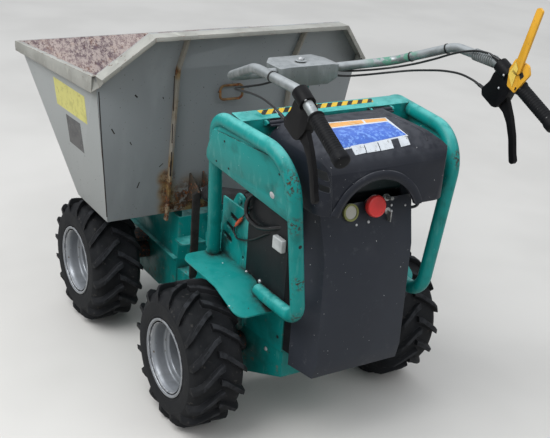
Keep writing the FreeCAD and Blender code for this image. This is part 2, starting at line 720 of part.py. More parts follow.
def wall_x(z):
    """Outer face of the skip's rear wall at a height."""
    slope = (SKIP_BACK_X - SKIP_BOTTOM_BACK_X) / (SKIP_BACK_Z - SKIP_BOTTOM_Z)
    return SKIP_BOTTOM_BACK_X + slope * (z - SKIP_BOTTOM_Z)


def skip_ribs(shell, rim_shape):
    """Two ribs that follow the rear wall, with feet, and the lugs of the tipping hinge."""
    foot_z = SKIP_BOTTOM_Z - 22
    top = V(HEADBOARD_X, 0, HEADBOARD_Z - SKIP_SHEET)
    pieces = []
    for side in (1, -1):
        profile = [
            (wall_x(SKIP_BOTTOM_Z), SKIP_BOTTOM_Z), (SKIP_BACK_X, SKIP_BACK_Z), (top.x + 2, top.z),
            (top.x + 2 - RIB_DEPTH, top.z), (SKIP_BACK_X - RIB_DEPTH, SKIP_BACK_Z),
            (wall_x(foot_z) - RIB_DEPTH, SKIP_BOTTOM_Z + 20), (wall_x(foot_z) - 16, foot_z),
            (wall_x(foot_z) + 4, foot_z),
        ]
        y = side * RIB_Y - RIB_THICK / 2
        pieces.append(plate(xz(profile, y), V(0, RIB_THICK, 0)).cut(shell).cut(rim_shape))
        lug = [
            (TIP_X - 60, SKIP_BOTTOM_Z), (TIP_X - TIP_LUG_RADIUS, TIP_Z - 4), (TIP_X - 6, TIP_Z - TIP_LUG_RADIUS),
            (TIP_X + TIP_LUG_RADIUS, TIP_Z - TIP_LUG_RADIUS), (TIP_X + TIP_LUG_RADIUS, TIP_Z + 40),
            (SKIP_BOTTOM_FRONT_X, SKIP_BOTTOM_Z),
        ]
        y = side * TIP_LUG_Y - TIP_LUG_THICK / 2
        ear = plate(xz(lug, y), V(0, TIP_LUG_THICK, 0), [0, 22, 10, 22, 20, 0])
        hole = disc_y(TIP_X, TIP_Z, y - 5, y + 30, TIP_PIN_RADIUS + PIN_CLEARANCE)
        pieces.append(ear.cut(hole))
    return pieces


def ram_lugs():
    """Two cheeks on the rear wall that take the ram's eye."""
    inner = RAM_EYE_HALF + RAM_CHEEK_GAP
    pieces = []
    for side in (1, -1):
        y = RAM_Y + side * inner
        profile = [
            (wall_x(460), 460), (wall_x(560), 560), (RAM_EYE_X, RAM_EYE_Z + 18),
            (RAM_EYE_X - 17, RAM_EYE_Z + 8), (RAM_EYE_X - 14, RAM_EYE_Z - 18),
        ]
        pieces.append(plate(xz(profile, y), V(0, side * 6, 0), [0, 0, 12, 8, 8]))
    return pieces


def hand_loop():
    """Bent rod handle on the rear wall, closed all round, on two short stubs."""
    low = HAND_LOOP_Z - HAND_LOOP_HEIGHT / 2
    high = HAND_LOOP_Z + HAND_LOOP_HEIGHT / 2
    x = wall_x(HAND_LOOP_Z) - HAND_LOOP_OUT
    y0 = HAND_LOOP_Y - HAND_LOOP_WIDTH / 2
    y1 = HAND_LOOP_Y + HAND_LOOP_WIDTH / 2
    bend = HAND_LOOP_HEIGHT / 2 - 8
    seam = HAND_LOOP_Z - 6
    upper = bent_rod([V(x, y0, seam), V(x, y0, high), V(x, y1, high), V(x, y1, seam)], [bend, bend], LOOP_ROD)
    lower = bent_rod([V(x, y0, seam), V(x, y0, low), V(x, y1, low), V(x, y1, seam)], [bend, bend], LOOP_ROD)
    stubs = []
    for y in (y0, y1):
        stubs.append(rod(V(wall_x(HAND_LOOP_Z), y, HAND_LOOP_Z), V(x, y, HAND_LOOP_Z), LOOP_ROD - 1.5))
    return joined([upper, lower] + stubs)


def step_plate():
    """Left step: flat over the wheel, then sloping down at the tail, with rounded outer corners."""
    sheet = [
        (STEP_FRONT_X, STEP_Z), (STEP_KNEE_X, STEP_Z), (STEP_TAIL_X, STEP_TAIL_Z),
        (STEP_TAIL_X, STEP_TAIL_Z - STEP_THICK), (STEP_KNEE_X, STEP_Z - STEP_THICK),
        (STEP_FRONT_X, STEP_Z - STEP_THICK),
    ]
    plan = [
        (STEP_FRONT_X, STEP_INNER_Y), (STEP_FRONT_X, STEP_OUTER_Y - 20), (STEP_FRONT_X - 30, STEP_OUTER_Y),
        (STEP_KNEE_X, STEP_OUTER_Y), (STEP_TAIL_X, STEP_TAIL_OUTER_Y), (STEP_TAIL_X, STEP_INNER_Y),
    ]
    radii = [0, 24, 30, 0, STEP_CORNER, 0]
    return plate(xz(sheet, 0), V(0, 400, 0)).common(plate(xy(plan, 300), V(0, 0, 300), radii))


def guard_loop():
    """Left loop, cut square on the step plate, with its gusset, weld ring and rear tab."""
    path = [LOOP_FOOT - V(0, 0, 30), LOOP_FRONT_TOP, LOOP_REAR_TOP, LOOP_REAR_BOTTOM, LOOP_END]
    tube = bent_rod(path, LOOP_BENDS, TUBE_RADIUS)
    below = [
        (STEP_FRONT_X + 50, STEP_Z), (STEP_KNEE_X, STEP_Z), (STEP_TAIL_X, STEP_TAIL_Z),
        (STEP_TAIL_X, STEP_TAIL_Z - 80), (STEP_FRONT_X + 50, STEP_TAIL_Z - 80),
    ]
    tube = tube.cut(plate(xz(below, 100), V(0, 300, 0)))
    gusset = [
        (LOOP_FOOT.x, STEP_Z), (LOOP_FOOT.x + 40, STEP_Z + 3), (LOOP_FOOT.x + 46, STEP_Z + 40),
        (LOOP_FOOT.x, STEP_Z + 88),
    ]
    fin = plate(xz(gusset, LOOP_FOOT.y - 1), V(0, 6, 0), [0, 8, 14, 0])
    axis = (LOOP_FRONT_TOP - LOOP_FOOT).normalize()
    weld = rod(LOOP_FOOT + axis * 78, LOOP_FOOT + axis * 82, TUBE_RADIUS + 1.2)
    foot = rod(V(LOOP_FOOT.x, LOOP_FOOT.y, STEP_Z), V(LOOP_FOOT.x, LOOP_FOOT.y, STEP_Z + 5), TUBE_RADIUS + 3)
    return joined([tube, fin, weld, foot])


def side_panel(loop):
    """Left sheet inside the loop, outside the front leg and inside the rear one."""
    front = V(-244.0, 299.5, 0)
    back = V(-600.0, 249.0, 0)
    way = back - front
    lean = V(-way.y, way.x, 0).normalize() * PANEL_LEAN

    def at(share, z):
        return front + way * share + lean * (PANEL_RIM_Z - z) + V(0, 0, z)

    points = [at(0.06, 868), at(-0.04, 800), at(-0.058, 770), at(0.98, 704), at(0.98, 850), at(0.75, 868)]
    sheet = plate(points, way.cross(lean + V(0, 0, -1)).normalize() * -3, [10, 12, 14, 0, 60, 0])
    hole = rod(at(0.72, 762) + V(0, -20, 0), at(0.72, 762) + V(0, 20, 0), 9)
    return sheet.cut(hole).cut(loop)


def slotted_panel():
    """Left side plate in front of the battery box with three slanted slots."""
    sheet = box(PANEL_BACK_X, PANEL_FRONT_X, PANEL_OUTER_Y - PANEL_THICK, PANEL_OUTER_Y, REAR_CHASSIS_TOP, PANEL_TOP_Z)
    cuts = [disc_y(-278, 480, 150, 220, 6)]
    for x, z in PANEL_SLOTS:
        slot = [(x + 30, z + 14), (x + 24, z - 2), (x - 30, z - 14), (x - 24, z + 6)]
        cuts.append(plate(xz(slot, 150), V(0, 100, 0), [7, 7, 7, 7]))
    return sheet.cut(Part.makeCompound(cuts))


def deck_half(x):
    """Half width of the tapered deck at the given place."""
    share = (REAR_CHASSIS_TAPER_X - x) / (REAR_CHASSIS_TAPER_X - REAR_CHASSIS_BACK_X)
    return REAR_CHASSIS_HALF + DECK_LIP - share * (REAR_CHASSIS_HALF - REAR_CHASSIS_TAIL_HALF)


def tray_plan(inset, front, back):
    """Plan along the deck's own taper, moved inwards by the inset."""
    wide = deck_half(front) - inset
    slim = deck_half(back) - inset
    return [(front, -wide), (front, wide), (back, slim), (back, -slim)]


def battery_tray():
    """Two folded side sheets on the deck below the step plates."""
    tall = V(0, 0, TRAY_TOP_Z - REAR_CHASSIS_TOP)
    outer = plate(xy(tray_plan(0.0, PANEL_BACK_X, TRAY_BACK_X), REAR_CHASSIS_TOP), tall)
    inner = plate(xy(tray_plan(TRAY_WALL, PANEL_BACK_X + 10, TRAY_BACK_X - 10), REAR_CHASSIS_TOP), tall)
    return outer.cut(inner)


def battery_box():
    """Battery and motor block behind the slotted panels, narrower where it stands in the tray."""
    profile = [
        (PANEL_BACK_X, REAR_CHASSIS_TOP), (PANEL_BACK_X, BATTERY_FRONT_TOP_Z), (BATTERY_BACK_X, BATTERY_BACK_TOP_Z),
        (BATTERY_BACK_X, REAR_CHASSIS_TOP),
    ]
    half = PANEL_OUTER_Y
    whole = plate(xz(profile, -half), V(0, 2 * half, 0), [0, 12, 12, 0])
    seat = TRAY_TOP_Z + 2.0
    low = box(BATTERY_BACK_X - 10, PANEL_BACK_X + 10, -300, 300, REAR_CHASSIS_TOP - 10, seat)
    plan = tray_plan(TRAY_WALL, PANEL_BACK_X, BATTERY_BACK_X)
    slim = plate(xy(plan, REAR_CHASSIS_TOP), V(0, 0, seat - REAR_CHASSIS_TOP))
    return joined([whole.cut(low), whole.common(slim)])


REAR_PROFILE = [(-553, 770), (-572, 691), (-596, 605), (-604, 302), (-590, COVER_BOTTOM_Z)]


def rear_panel():
    """Folded cover behind the battery box, open at its top and front."""
    front = BATTERY_BACK_X
    top = REAR_PROFILE[0][1]
    solids = []
    for inset, over in ((0.0, 0.0), (COVER_SHEET, 50.0)):
        profile = [(x + inset, z) for x, z in REAR_PROFILE]
        profile[0] = (profile[0][0], top + over)
        profile[-1] = (profile[-1][0], COVER_BOTTOM_Z + inset)
        side_view = [(front + over, COVER_BOTTOM_Z + inset), (front + over, top + over)] + profile
        back_half = COVER_BACK_HALF - inset
        front_half = COVER_FRONT_HALF - inset
        slope = (front_half - back_half) / (front - REAR_PROFILE[3][0])
        plan = [
            (REAR_PROFILE[3][0], -back_half), (front + over, -front_half - slope * over),
            (front + over, front_half + slope * over), (REAR_PROFILE[3][0], back_half),
        ]
        solids.append(plate(xz(side_view, -250), V(0, 500, 0)).common(plate(xy(plan, 0), V(0, 0, 1000))))
    return solids[0].cut(solids[1])


def on_cover(z, y, out=0.0):
    """Point on the sloping rear face of the cover between its top and its first fold."""
    (x0, z0), (x1, z1) = REAR_PROFILE[0], REAR_PROFILE[1]
    way = V(x0 - x1, 0, z0 - z1).normalize()
    normal = V(-way.z, 0, way.x)
    x = x0 + (x1 - x0) * (z0 - z) / (z0 - z1)
    return V(x, y, z) + normal * out


def stop_button():
    base = rod(on_cover(722, -10), on_cover(722, -10, 10), 20)
    stem = rod(on_cover(722, -10, 10), on_cover(722, -10, 18), 15)
    cap = rod(on_cover(722, -10, 18), on_cover(722, -10, 34), 29)
    cap = cap.makeFillet(6, [cap.Edges[0]]) if cap.Edges else cap
    return joined([base, stem, cap])


def gauge():
    ring = rod(on_cover(712, 55), on_cover(712, 55, 8), 23)
    glass = rod(on_cover(712, 55, 5), on_cover(712, 55, 8), 18)
    return ring.cut(glass)


def key_switch():
    """Key in its barrel and the toggle with its boot."""
    barrel = rod(on_cover(700, -62), on_cover(700, -62, 6), 9)
    start = on_cover(700, -62, 6)
    blade = box(start.x - 16, start.x, -63.5, -60.5, 676, 702)
    toggle_base = rod(on_cover(735, -60), on_cover(735, -60, 8), 9)
    toggle = rod(on_cover(735, -60, 8), on_cover(735, -60, 30), 5)
    return [joined([barrel, blade]), joined([toggle_base, toggle])]


def cross_plate(loops):
    """Plate on top of the two loops with the ears of the hood's hinge."""
    (x0, z0), (x1, z1) = CROSS_FRONT, CROSS_BACK
    inner = x1 + CROSS_THICK
    drop = z1 - CROSS_DROP
    profile = [(x0, z0), (x1, z1), (x1, drop), (inner, drop), (inner, z1 - CROSS_THICK + 0.5), (x0, z0 - CROSS_THICK)]
    sheet = plate(xz(profile, -CROSS_HALF), V(0, 2 * CROSS_HALF, 0))
    pieces = [sheet]
    for side in (1, -1):
        for end in (-1, 1):
            y = side * HINGE_Y + end * (HINGE_LENGTH / 2 + 5)
            ear = [
                (x1 + 3, z1 - 2), (HINGE_X, HINGE_Z + 5), (HINGE_X - 5, HINGE_Z), (HINGE_X, HINGE_Z - 6),
                (x1 + 3, HINGE_Z - 12),
            ]
            pieces.append(plate(xz(ear, y - 3), V(0, 6, 0)))
        y = side * HINGE_Y
        half = HINGE_LENGTH / 2 + 5
        pieces.append(disc_y(HINGE_X, HINGE_Z, y - half, y + half, HINGE_PIN_RADIUS))
    return joined(pieces).cut(loops[0]).cut(loops[1])


def hood():
    """Moulded lid: rounded shell with a sloping top border, an arched rear and a raised arch lip."""
    solids = []
    for inset in (0.0, HOOD_WALL):
        top = HOOD_TOP_Z - inset
        front = HINGE_X - 10 - inset
        back = HOOD_BACK_X + inset
        low = HOOD_BOTTOM_Z - 60 * (inset > 0)
        side_view = [
            (front, HINGE_Z - 2 - inset), (front - 30, top), (HOOD_KNEE_X, top), (back + 8, HOOD_BACK_TOP_Z),
            (back, low), (-562, low), (front, HOOD_SIDE_FRONT_Z - 60 * (inset > 0)),
        ]
        radii = [0, 20, 70 - inset, 60 - inset, 0, 30 if not inset else 0, 0]
        half = HOOD_HALF - inset
        across = [
            (-half, low - 150), (-half, HOOD_SHOULDER_Z), (-HOOD_FLAT_HALF, top), (HOOD_FLAT_HALF, top),
            (half, HOOD_SHOULDER_Z), (half, low - 150),
        ]
        plan = [(front + 60, -half), (front + 60, half), (back, half), (back, -half)]
        corner = HOOD_CORNER - inset
        along = plate(xz(side_view, -300), V(0, 600, 0), radii)
        along = along.common(plate(xy(plan, 600), V(0, 0, 400), [0, 0, corner, corner]))
        solids.append(along.common(plate(yz(across, -800), V(600, 0, 0), [0, 45 - inset, 60, 60, 45 - inset, 0])))
    shell = solids[0].cut(solids[1])
    arch_z = ARCH_TOP_Z - ARCH_RADIUS
    tunnel = rod(V(-700, ARCH_Y, arch_z), V(-612, ARCH_Y, arch_z), ARCH_RADIUS)
    ring = rod(V(-700, ARCH_Y, arch_z), V(-612, ARCH_Y, arch_z), ARCH_RADIUS + ARCH_LIP)
    proud = solids[0].copy()
    proud.translate(V(-ARCH_LIP_PROUD, 0, 0))
    lip = proud.cut(solids[0]).common(ring)
    lip = lip.common(box(-700, -612, -190, 190, HOOD_BOTTOM_Z, 900))
    pieces = [shell, lip]
    for side in (1, -1):
        y = side * HINGE_Y
        half = HINGE_LENGTH / 2
        knuckle = disc_y(HINGE_X, HINGE_Z, y - half, y + half, HINGE_RADIUS)
        strap = box(HINGE_X - 14, HINGE_X, y - half, y + half, HINGE_Z - 6, HINGE_Z - 2)
        pieces += [knuckle, strap]
    slots = []
    for slot in HOOD_SLOTS:
        slots.append(plate(xz(slot, -300), V(0, 600, 0), [4, 4, 4, 4]))
    keep = box(-800, 0, -HOOD_HALF + 25, HOOD_HALF - 25, 0, 1000)
    whole = joined(pieces).cut(tunnel).cut([slot.cut(keep) for slot in slots])
    for side in (1, -1):
        y = side * HINGE_Y
        half = HINGE_LENGTH / 2 + 9
        whole = whole.cut(disc_y(HINGE_X, HINGE_Z, y - half, y + half, HINGE_PIN_RADIUS + PIN_CLEARANCE))
    return whole


def bar_post():
    post = rod(V(POST_X, 0, REAR_CHASSIS_TOP), V(POST_X, 0, POST_TOP_Z), POST_RADIUS)
    flange = rod(V(POST_X, 0, REAR_CHASSIS_TOP), V(POST_X, 0, REAR_CHASSIS_TOP + 8), 34)
    return joined([post, flange])


def yoke_box():
    """Pressed box that holds both bars, rounded in plan and deeper in its middle."""
    plan = [
        (YOKE_FRONT_X, -YOKE_HALF + 26), (YOKE_FRONT_X, YOKE_HALF - 26), (YOKE_FRONT_X - 34, YOKE_HALF),
        (YOKE_BACK_X, YOKE_HALF), (YOKE_BACK_X, -YOKE_HALF), (YOKE_FRONT_X - 34, -YOKE_HALF),
    ]
    front_view = [
        (-YOKE_HALF, 974), (-YOKE_HALF, YOKE_TOP_Z - 3), (-70, YOKE_TOP_Z), (70, YOKE_TOP_Z), (YOKE_HALF, YOKE_TOP_Z - 3),
        (YOKE_HALF, 974), (60, YOKE_BOTTOM_Z), (-60, YOKE_BOTTOM_Z),
    ]
    body = plate(xy(plan, 900), V(0, 0, 200), [14, 14, 14, 10, 10, 14])
    body = body.common(plate(yz(front_view, -400), V(400, 0, 0)))
    washer = rod(V(-206, 0, YOKE_TOP_Z), V(-206, 0, YOKE_TOP_Z + 2.5), 16)
    bolt = rod(V(-206, 0, YOKE_TOP_Z + 2.5), V(-206, 0, YOKE_TOP_Z + 10), 8)
    return joined([body, washer, bolt])


def grip_way(points):
    return (points[-1] - points[-2]).normalize()


def handlebar(yoke, points):
    return bent_rod(points, BAR_BENDS, BAR_RADIUS).cut(yoke)


def bar_space(points):
    return bent_rod(points, BAR_BENDS, BAR_RADIUS + TOUCH_GAP)


def grip(points):
    end = points[-1]
    way = grip_way(points)
    body = rod(end - way * GRIP_LENGTH, end + way * GRIP_END_WALL, GRIP_RADIUS)
    bulb = rod(end - way * 16, end + way * GRIP_END_WALL, GRIP_BULB_RADIUS)
    collar = rod(end - way * GRIP_LENGTH, end - way * (GRIP_LENGTH - 5), GRIP_BULB_RADIUS)
    bore = rod(end - way * (GRIP_LENGTH + 1), end, BAR_RADIUS + TOUCH_GAP)
    return joined([body, bulb, collar]).cut(bore)


def on_bar(x):
    """Point on the middle line of the bar's last run."""
    way = BAR_POINTS[-1] - BAR_POINTS[-2]
    return BAR_POINTS[-2] + way * ((x - BAR_POINTS[-2].x) / way.x)


def lever_housing(bar):
    """Moulded clamp round the bar with the block that carries the brake lever, not yet bored for the bar."""
    y = bar[-2].y
    way = grip_way(bar)
    start = bar[-2] + way * 2
    profile = [
        (-636, 1066), (-650, 1086), (-690, 1078), (-704, 1060), (-700, 1036), (-688, 1010), (-664, 985),
        (-648, 984), (-606, 1003), (-603, 1020), (-628, 1046),
    ]
    if bar is LEFT_BAR_POINTS:
        profile = [(px + LEFT_SHIFT.x, pz + LEFT_SHIFT.z) for px, pz in profile]
    radii = [8, 10, 10, 10, 20, 20, 10, 10, 7, 8, 26]
    block = plate(xz(profile, y - HOUSING_HALF), V(0, 2 * HOUSING_HALF, 0), radii)
    clamp = rod(start, start + way * 44, CLAMP_RADIUS)
    return joined([block, clamp])


def brake_lever():
    """Slim blade that hangs from the housing and curves back at its tip."""
    y = BAR_POINTS[-2].y
    points = [
        (-658, 992), (-688, 1022), (-716, 972), (-733, 930), (-744, 885), (-751, 868), (-744, 857), (-733, 860),
        (-726, 885), (-718, 918), (-702, 955), (-684, 978),
    ]
    radii = [0, 3, 60, 60, 20, 6, 6, 6, 30, 60, 40, 10]
    blade = plate(xz(points, y - 6), V(0, 12, 0), radii)
    return blade.cut(lever_housing(BAR_POINTS))


def yellow_lever():
    """Right control: clamp ring, bracket plate on the inner side of the bar and its upright arm."""
    ring = rod(on_bar(-707), on_bar(-717), BAR_RADIUS + 5)
    inner_y = BAR_POINTS[-2].y - BAR_RADIUS - 5
    bracket = [
        (-694, 1052), (-722, 1040), (-741, 1066), (-764, 1096), (-756, 1118), (-712, 1128), (-694, 1096),
    ]
    arm = [(-712, 1096), (-734, 1088), (-777, 1255), (-766, 1262), (-757, 1258)]
    bracket_plate = plate(xz(bracket, inner_y), V(0, 6, 0), [6, 6, 6, 8, 10, 10, 10])
    arm_plate = plate(xz(arm, inner_y - 6), V(0, 6, 0), [0, 6, 5, 5, 5])
    link = rod(V(-716, inner_y + 1, 1062), V(-716, inner_y + 9, 1062), 9)
    lever = joined([ring, bracket_plate, arm_plate, link]).cut(bar_space(BAR_POINTS)).cut(lever_housing(BAR_POINTS)).cut(grip(BAR_POINTS))
    return mirrored(lever)


def brake_cables(yoke):
    """Held cables from the lever housings along the bars into the yoke box: x, y, z on the left side."""
    low = [
        V(-607, 314, 1008), V(-566, 315, 1024), V(-505, 313, 1031), V(-440, 306, 1023), V(-385, 297, 1010),
        V(-330, 283, 996), V(-284, 250, 981), V(-252, 190, 970), V(-236, 130, 966), V(-226, 70, 975),
    ]
    high = [
        V(-652, 303, 1092), V(-624, 298, 1114), V(-576, 294, 1112), V(-520, 294, 1096), V(-470, 296, 1076),
        V(-420, 296, 1052), V(-350, 283, 1020), V(-292, 258, 997), V(-262, 215, 986), V(-240, 140, 981),
        V(-222, 86, 985),
    ]
    drop = []
    for point in low:
        share = (point.x - low[-1].x) / (low[0].x - low[-1].x)
        drop.append(point + LEFT_SHIFT * share)
    left = cord(drop, CABLE_RADIUS).cut(yoke).cut(lever_housing(LEFT_BAR_POINTS))
    lower = cord(low, CABLE_RADIUS).cut(yoke).cut(lever_housing(BAR_POINTS))
    upper = cord(high, CABLE_RADIUS).cut(yoke).cut(lever_housing(BAR_POINTS)).cut(bar_space(BAR_POINTS))
    return [largest(left), mirrored(largest(lower)), mirrored(largest(upper))]


def battery_cable(battery):
    """Heavy held cable in the left opening and the thin wire with its fuse holder."""
    face = PANEL_OUTER_Y
    heavy = [
        V(-356, face - 4, 712), V(-336, face + 12, 700), V(-300, face + 14, 664), V(-304, face + 14, 618),
        V(-366, face + 14, 612), V(-420, face + 14, 630), V(-462, face - 8, 650),
    ]
    thin = [
        V(-310, face - 3, 650), V(-300, face + 5, 634), V(-262, face + 7, 590), V(-228, face + 7, 552),
        V(-244, face + 7, 528), V(-292, face + 7, 540), V(-342, face + 7, 566), V(-398, face + 5, 604),
        V(-420, face - 4, 618),
    ]
    wire = cord(thin, 2.5)
    way = (thin[3] - thin[2]).normalize()
    fuse = rod(thin[2] - way * 4, thin[2] + way * 26, 5)
    return [largest(cord(heavy, 6.0).cut(battery)), largest(joined([wire, fuse]).cut(battery))]


def power_cable(battery, cover):
    """Held cable from the cover's right side to the battery box."""
    points = [
        V(-556, -140, 690), V(-554, -176, 688), V(-532, -204, 690), V(-494, -208, 698), V(-470, -184, 702),
    ]
    return largest(cord(points, 4.0).cut(battery).cut(cover))


def connector():
    """White plug housing on the battery box's left face."""
    body = box(-492, -446, PANEL_OUTER_Y, PANEL_OUTER_Y + 16, 588, 624)
    return body.makeFillet(3, body.Edges)


def save(name, shape):
    if isinstance(shape, list):
        shape = Part.makeCompound(shape)
    if len(shape.Solids) == 1:
        shape = shape.Solids[0]
    shape.exportStep("parts/%s.step" % name)
    box_ = shape.BoundBox
    print("%-20s solids %d valid %s volume %.0f x %.1f %.1f y %.1f %.1f z %.1f %.1f" % (
        name, len(shape.Solids), shape.isValid(), shape.Volume,
        box_.XMin, box_.XMax, box_.YMin, box_.YMax, box_.ZMin, box_.ZMax))


def both(shape):
    return [shape, mirrored(shape)]


def shifted(shape, vector):
    copy = shape.copy()
    copy.translate(vector)
    return copy


def moved(shape, x, y, z):
    return shifted(shape, V(x, y, z))


def raised(shapes, rise):
    return [moved(shape, 0, 0, rise) for shape in shapes]


# Wheels
left_tyre = tyre()
left_rim = rim()
for name, x in (("front", FRONT_AXLE_X), ("rear", REAR_AXLE_X)):
    tyre_here = moved(left_tyre, x, WHEEL_Y, AXLE_Z)
    rim_here = moved(left_rim, x, WHEEL_Y, AXLE_Z)
    save("tyre_%s_left" % name, tyre_here)
    save("tyre_%s_right" % name, mirrored(tyre_here))
    save("rim_%s_left" % name, rim_here)
    save("rim_%s_right" % name, mirrored(rim_here))

# Chassis
rear_axle = axle(REAR_AXLE_X, False)
front_axle = axle(FRONT_AXLE_X, True)
save("rear_axle", rear_axle)
save("front_axle", front_axle)
save("rear_chassis", joined([rear_chassis(rear_axle), battery_tray()]))
save("front_chassis", front_chassis(front_axle))
save("neck", neck())
save("ram_bracket", ram_bracket())
save("latch_bar", latch_bar())

# Skip and ram
shell = skip_shell()
rim_edge = skip_rim(shell)
save("skip_shell", shell)
save("skip_rim", rim_edge)
save("skip_ribs", skip_ribs(shell, rim_edge))
save("ram_lugs", ram_lugs())
save("hand_loop", hand_loop().cut(shell))
save("ram_barrel", ram_barrel())
save("ram_rod", ram_rod())

# Body
loop = guard_loop()
step = step_plate()
panel = side_panel(loop)
save("guard_loop_left", loop)
save("guard_loop_right", mirrored(loop))
save("step_plate_left", step)
save("step_plate_right", mirrored(step))
save("side_panels", both(panel))
save("slotted_panels", both(slotted_panel()))
battery = battery_box().cut(loop).cut(mirrored(loop))
cover = rear_panel()
save("battery_box", battery)
save("rear_panel", cover)
save("battery_cable", battery_cable(battery))
save("power_cable", power_cable(battery, cover))
save("connector", connector())
save("stop_button", stop_button())
save("gauge", gauge().cut(cover))
save("key_switch", [piece.cut(cover) for piece in key_switch()])
save("cross_plate", cross_plate([loop, mirrored(loop)]))
save("hood", hood())

# Handlebar
rise = POST_TOP_Z - BAR_DRAWN_Z
yoke = yoke_box()
right_housing = mirrored(lever_housing(BAR_POINTS).cut(bar_space(BAR_POINTS)))
left_housing = lever_housing(LEFT_BAR_POINTS).cut(bar_space(LEFT_BAR_POINTS))
left_lever = shifted(brake_lever(), LEFT_SHIFT)
save("bar_post", bar_post())
save("yoke_box", moved(yoke, 0, 0, rise))
save("handlebar_left", moved(handlebar(yoke, LEFT_BAR_POINTS), 0, 0, rise))
save("handlebar_right", moved(mirrored(handlebar(yoke, BAR_POINTS)), 0, 0, rise))
save("grips", raised([grip(LEFT_BAR_POINTS), mirrored(grip(BAR_POINTS))], rise))
save("lever_housings", raised([left_housing, right_housing], rise))
save("brake_levers", raised([left_lever, mirrored(brake_lever())], rise))
save("yellow_lever", moved(yellow_lever(), 0, 0, rise))
save("brake_cables", raised(brake_cables(yoke), rise))
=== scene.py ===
import json
import math

import bmesh
import bpy
from mathutils import Matrix, Vector
from mathutils.bvhtree import BVHTree


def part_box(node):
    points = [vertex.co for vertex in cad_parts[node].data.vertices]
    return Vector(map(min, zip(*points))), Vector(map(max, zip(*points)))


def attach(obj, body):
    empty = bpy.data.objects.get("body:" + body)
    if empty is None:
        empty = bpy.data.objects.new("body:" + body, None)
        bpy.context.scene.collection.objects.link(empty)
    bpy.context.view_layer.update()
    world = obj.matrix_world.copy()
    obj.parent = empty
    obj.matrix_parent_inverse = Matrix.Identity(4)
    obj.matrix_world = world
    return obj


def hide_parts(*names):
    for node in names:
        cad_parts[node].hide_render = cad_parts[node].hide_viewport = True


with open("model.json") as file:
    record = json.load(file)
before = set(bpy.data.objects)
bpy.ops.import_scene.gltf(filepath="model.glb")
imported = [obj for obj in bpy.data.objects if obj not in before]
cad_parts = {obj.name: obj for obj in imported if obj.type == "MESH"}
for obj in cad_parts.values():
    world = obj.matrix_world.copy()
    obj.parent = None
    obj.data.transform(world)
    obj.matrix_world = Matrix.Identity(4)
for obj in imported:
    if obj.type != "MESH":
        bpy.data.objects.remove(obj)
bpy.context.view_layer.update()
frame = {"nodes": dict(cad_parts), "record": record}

nodes = frame["nodes"]
body_of = {node: body for body, members in frame["record"]["behaviour"]["bodies"].items() for node in members}

# Camera, from the photograph's perspective
CAMERA_PLACE = Vector((-2.4768, 1.5167, 1.6974))
CAMERA_YAW = math.radians(-32.9162)
CAMERA_PITCH = math.radians(-23.0439)
CAMERA_ROLL = math.radians(4.4182)
FOCAL_PIXELS = 1014.2349
IMAGE_WIDTH = 550
IMAGE_HEIGHT = 438
SENSOR_WIDTH = 36

# Wheels, in metres and degrees, as in the CAD part
TYRE_RADIUS = 0.205
TYRE_HALF = 0.083
LUG_COUNT = 16
LUG_HEIGHT = 0.015
LUG_PHASE = 7.1
LUG_BASE_HALF = 3.4
LUG_SHOULDER_HALF = 2.65
LUG_TOP_HALF = 1.95
LUG_SHOULDER_DROP = 0.003
LUG_ROOT_DEPTH = 0.007
LUG_ROOT_FALL = 1.25
TREAD_RADIUS = TYRE_RADIUS - LUG_HEIGHT

HAZARD_PITCH = 0.034
SIDES = (("left", 1), ("right", -1))
ROW_MIDDLE = Vector((0, 0, 0.5))

# Mesh tolerances, in metres and degrees
WELD = 1e-6
CAD_WELD = 2e-6
FLAT_ANGLE = 0.4
SHARP_ANGLE = 32
SMOOTH_ANGLE = 40
STICKER_DEPTH = 0.0002
BEAD_SECTION = ((-0.5, -0.25), (-0.32, 0.7), (0, 1), (0.32, 0.7), (0.5, -0.25))
WIRE_SIDES = 10
BAND_SEGMENTS = 32
DOME_SEGMENTS = 20
DOME_SECTION = ((0, 1), (0.45, 0.95), (0.8, 0.65), (1, 0.15))
DOME_DEPTH = 0.0006


def srgb(r, g, b):
    """Linear colour from the 0 to 255 values that the render should show."""
    def linear(value):
        value /= 255
        return value / 12.92 if value <= 0.04045 else ((value + 0.055) / 1.055) ** 2.4
    return (linear(r), linear(g), linear(b), 1)


def lighter(colour, *steps):
    """Colour with its channels raised by three steps, or all by one."""
    return tuple(value + step for value, step in zip(colour, steps if len(steps) == 3 else steps * 3))


def darker(colour, factor):
    return tuple(value * factor for value in colour)


def added(name, data):
    """New object of the scene."""
    obj = bpy.data.objects.new(name, data)
    bpy.context.scene.collection.objects.link(obj)
    return obj


# Camera and pixel rays

forward = Vector((math.cos(CAMERA_PITCH) * math.cos(CAMERA_YAW), math.cos(CAMERA_PITCH) * math.sin(CAMERA_YAW),
    math.sin(CAMERA_PITCH)))
level_right = forward.cross(Vector((0, 0, 1))).normalized()
level_up = level_right.cross(forward)
right = level_right * math.cos(CAMERA_ROLL) + level_up * math.sin(CAMERA_ROLL)
up = level_up * math.cos(CAMERA_ROLL) - level_right * math.sin(CAMERA_ROLL)


def make_camera():
    data = bpy.data.cameras.new("camera")
    data.sensor_width = SENSOR_WIDTH
    data.lens = FOCAL_PIXELS * SENSOR_WIDTH / IMAGE_WIDTH
    data.clip_start = 0.05
    camera = added("camera", data)
    turn = Matrix((right, up, -forward)).transposed()
    camera.matrix_world = Matrix.Translation(CAMERA_PLACE) @ turn.to_4x4()
    bpy.context.scene.camera = camera


def pixel_ray(u, v):
    """Direction from the camera through a pixel of the 550 by 438 image."""
    return (forward + right * ((u - IMAGE_WIDTH / 2) / FOCAL_PIXELS)
        - up * ((v - IMAGE_HEIGHT / 2) / FOCAL_PIXELS)).normalized()


# Materials

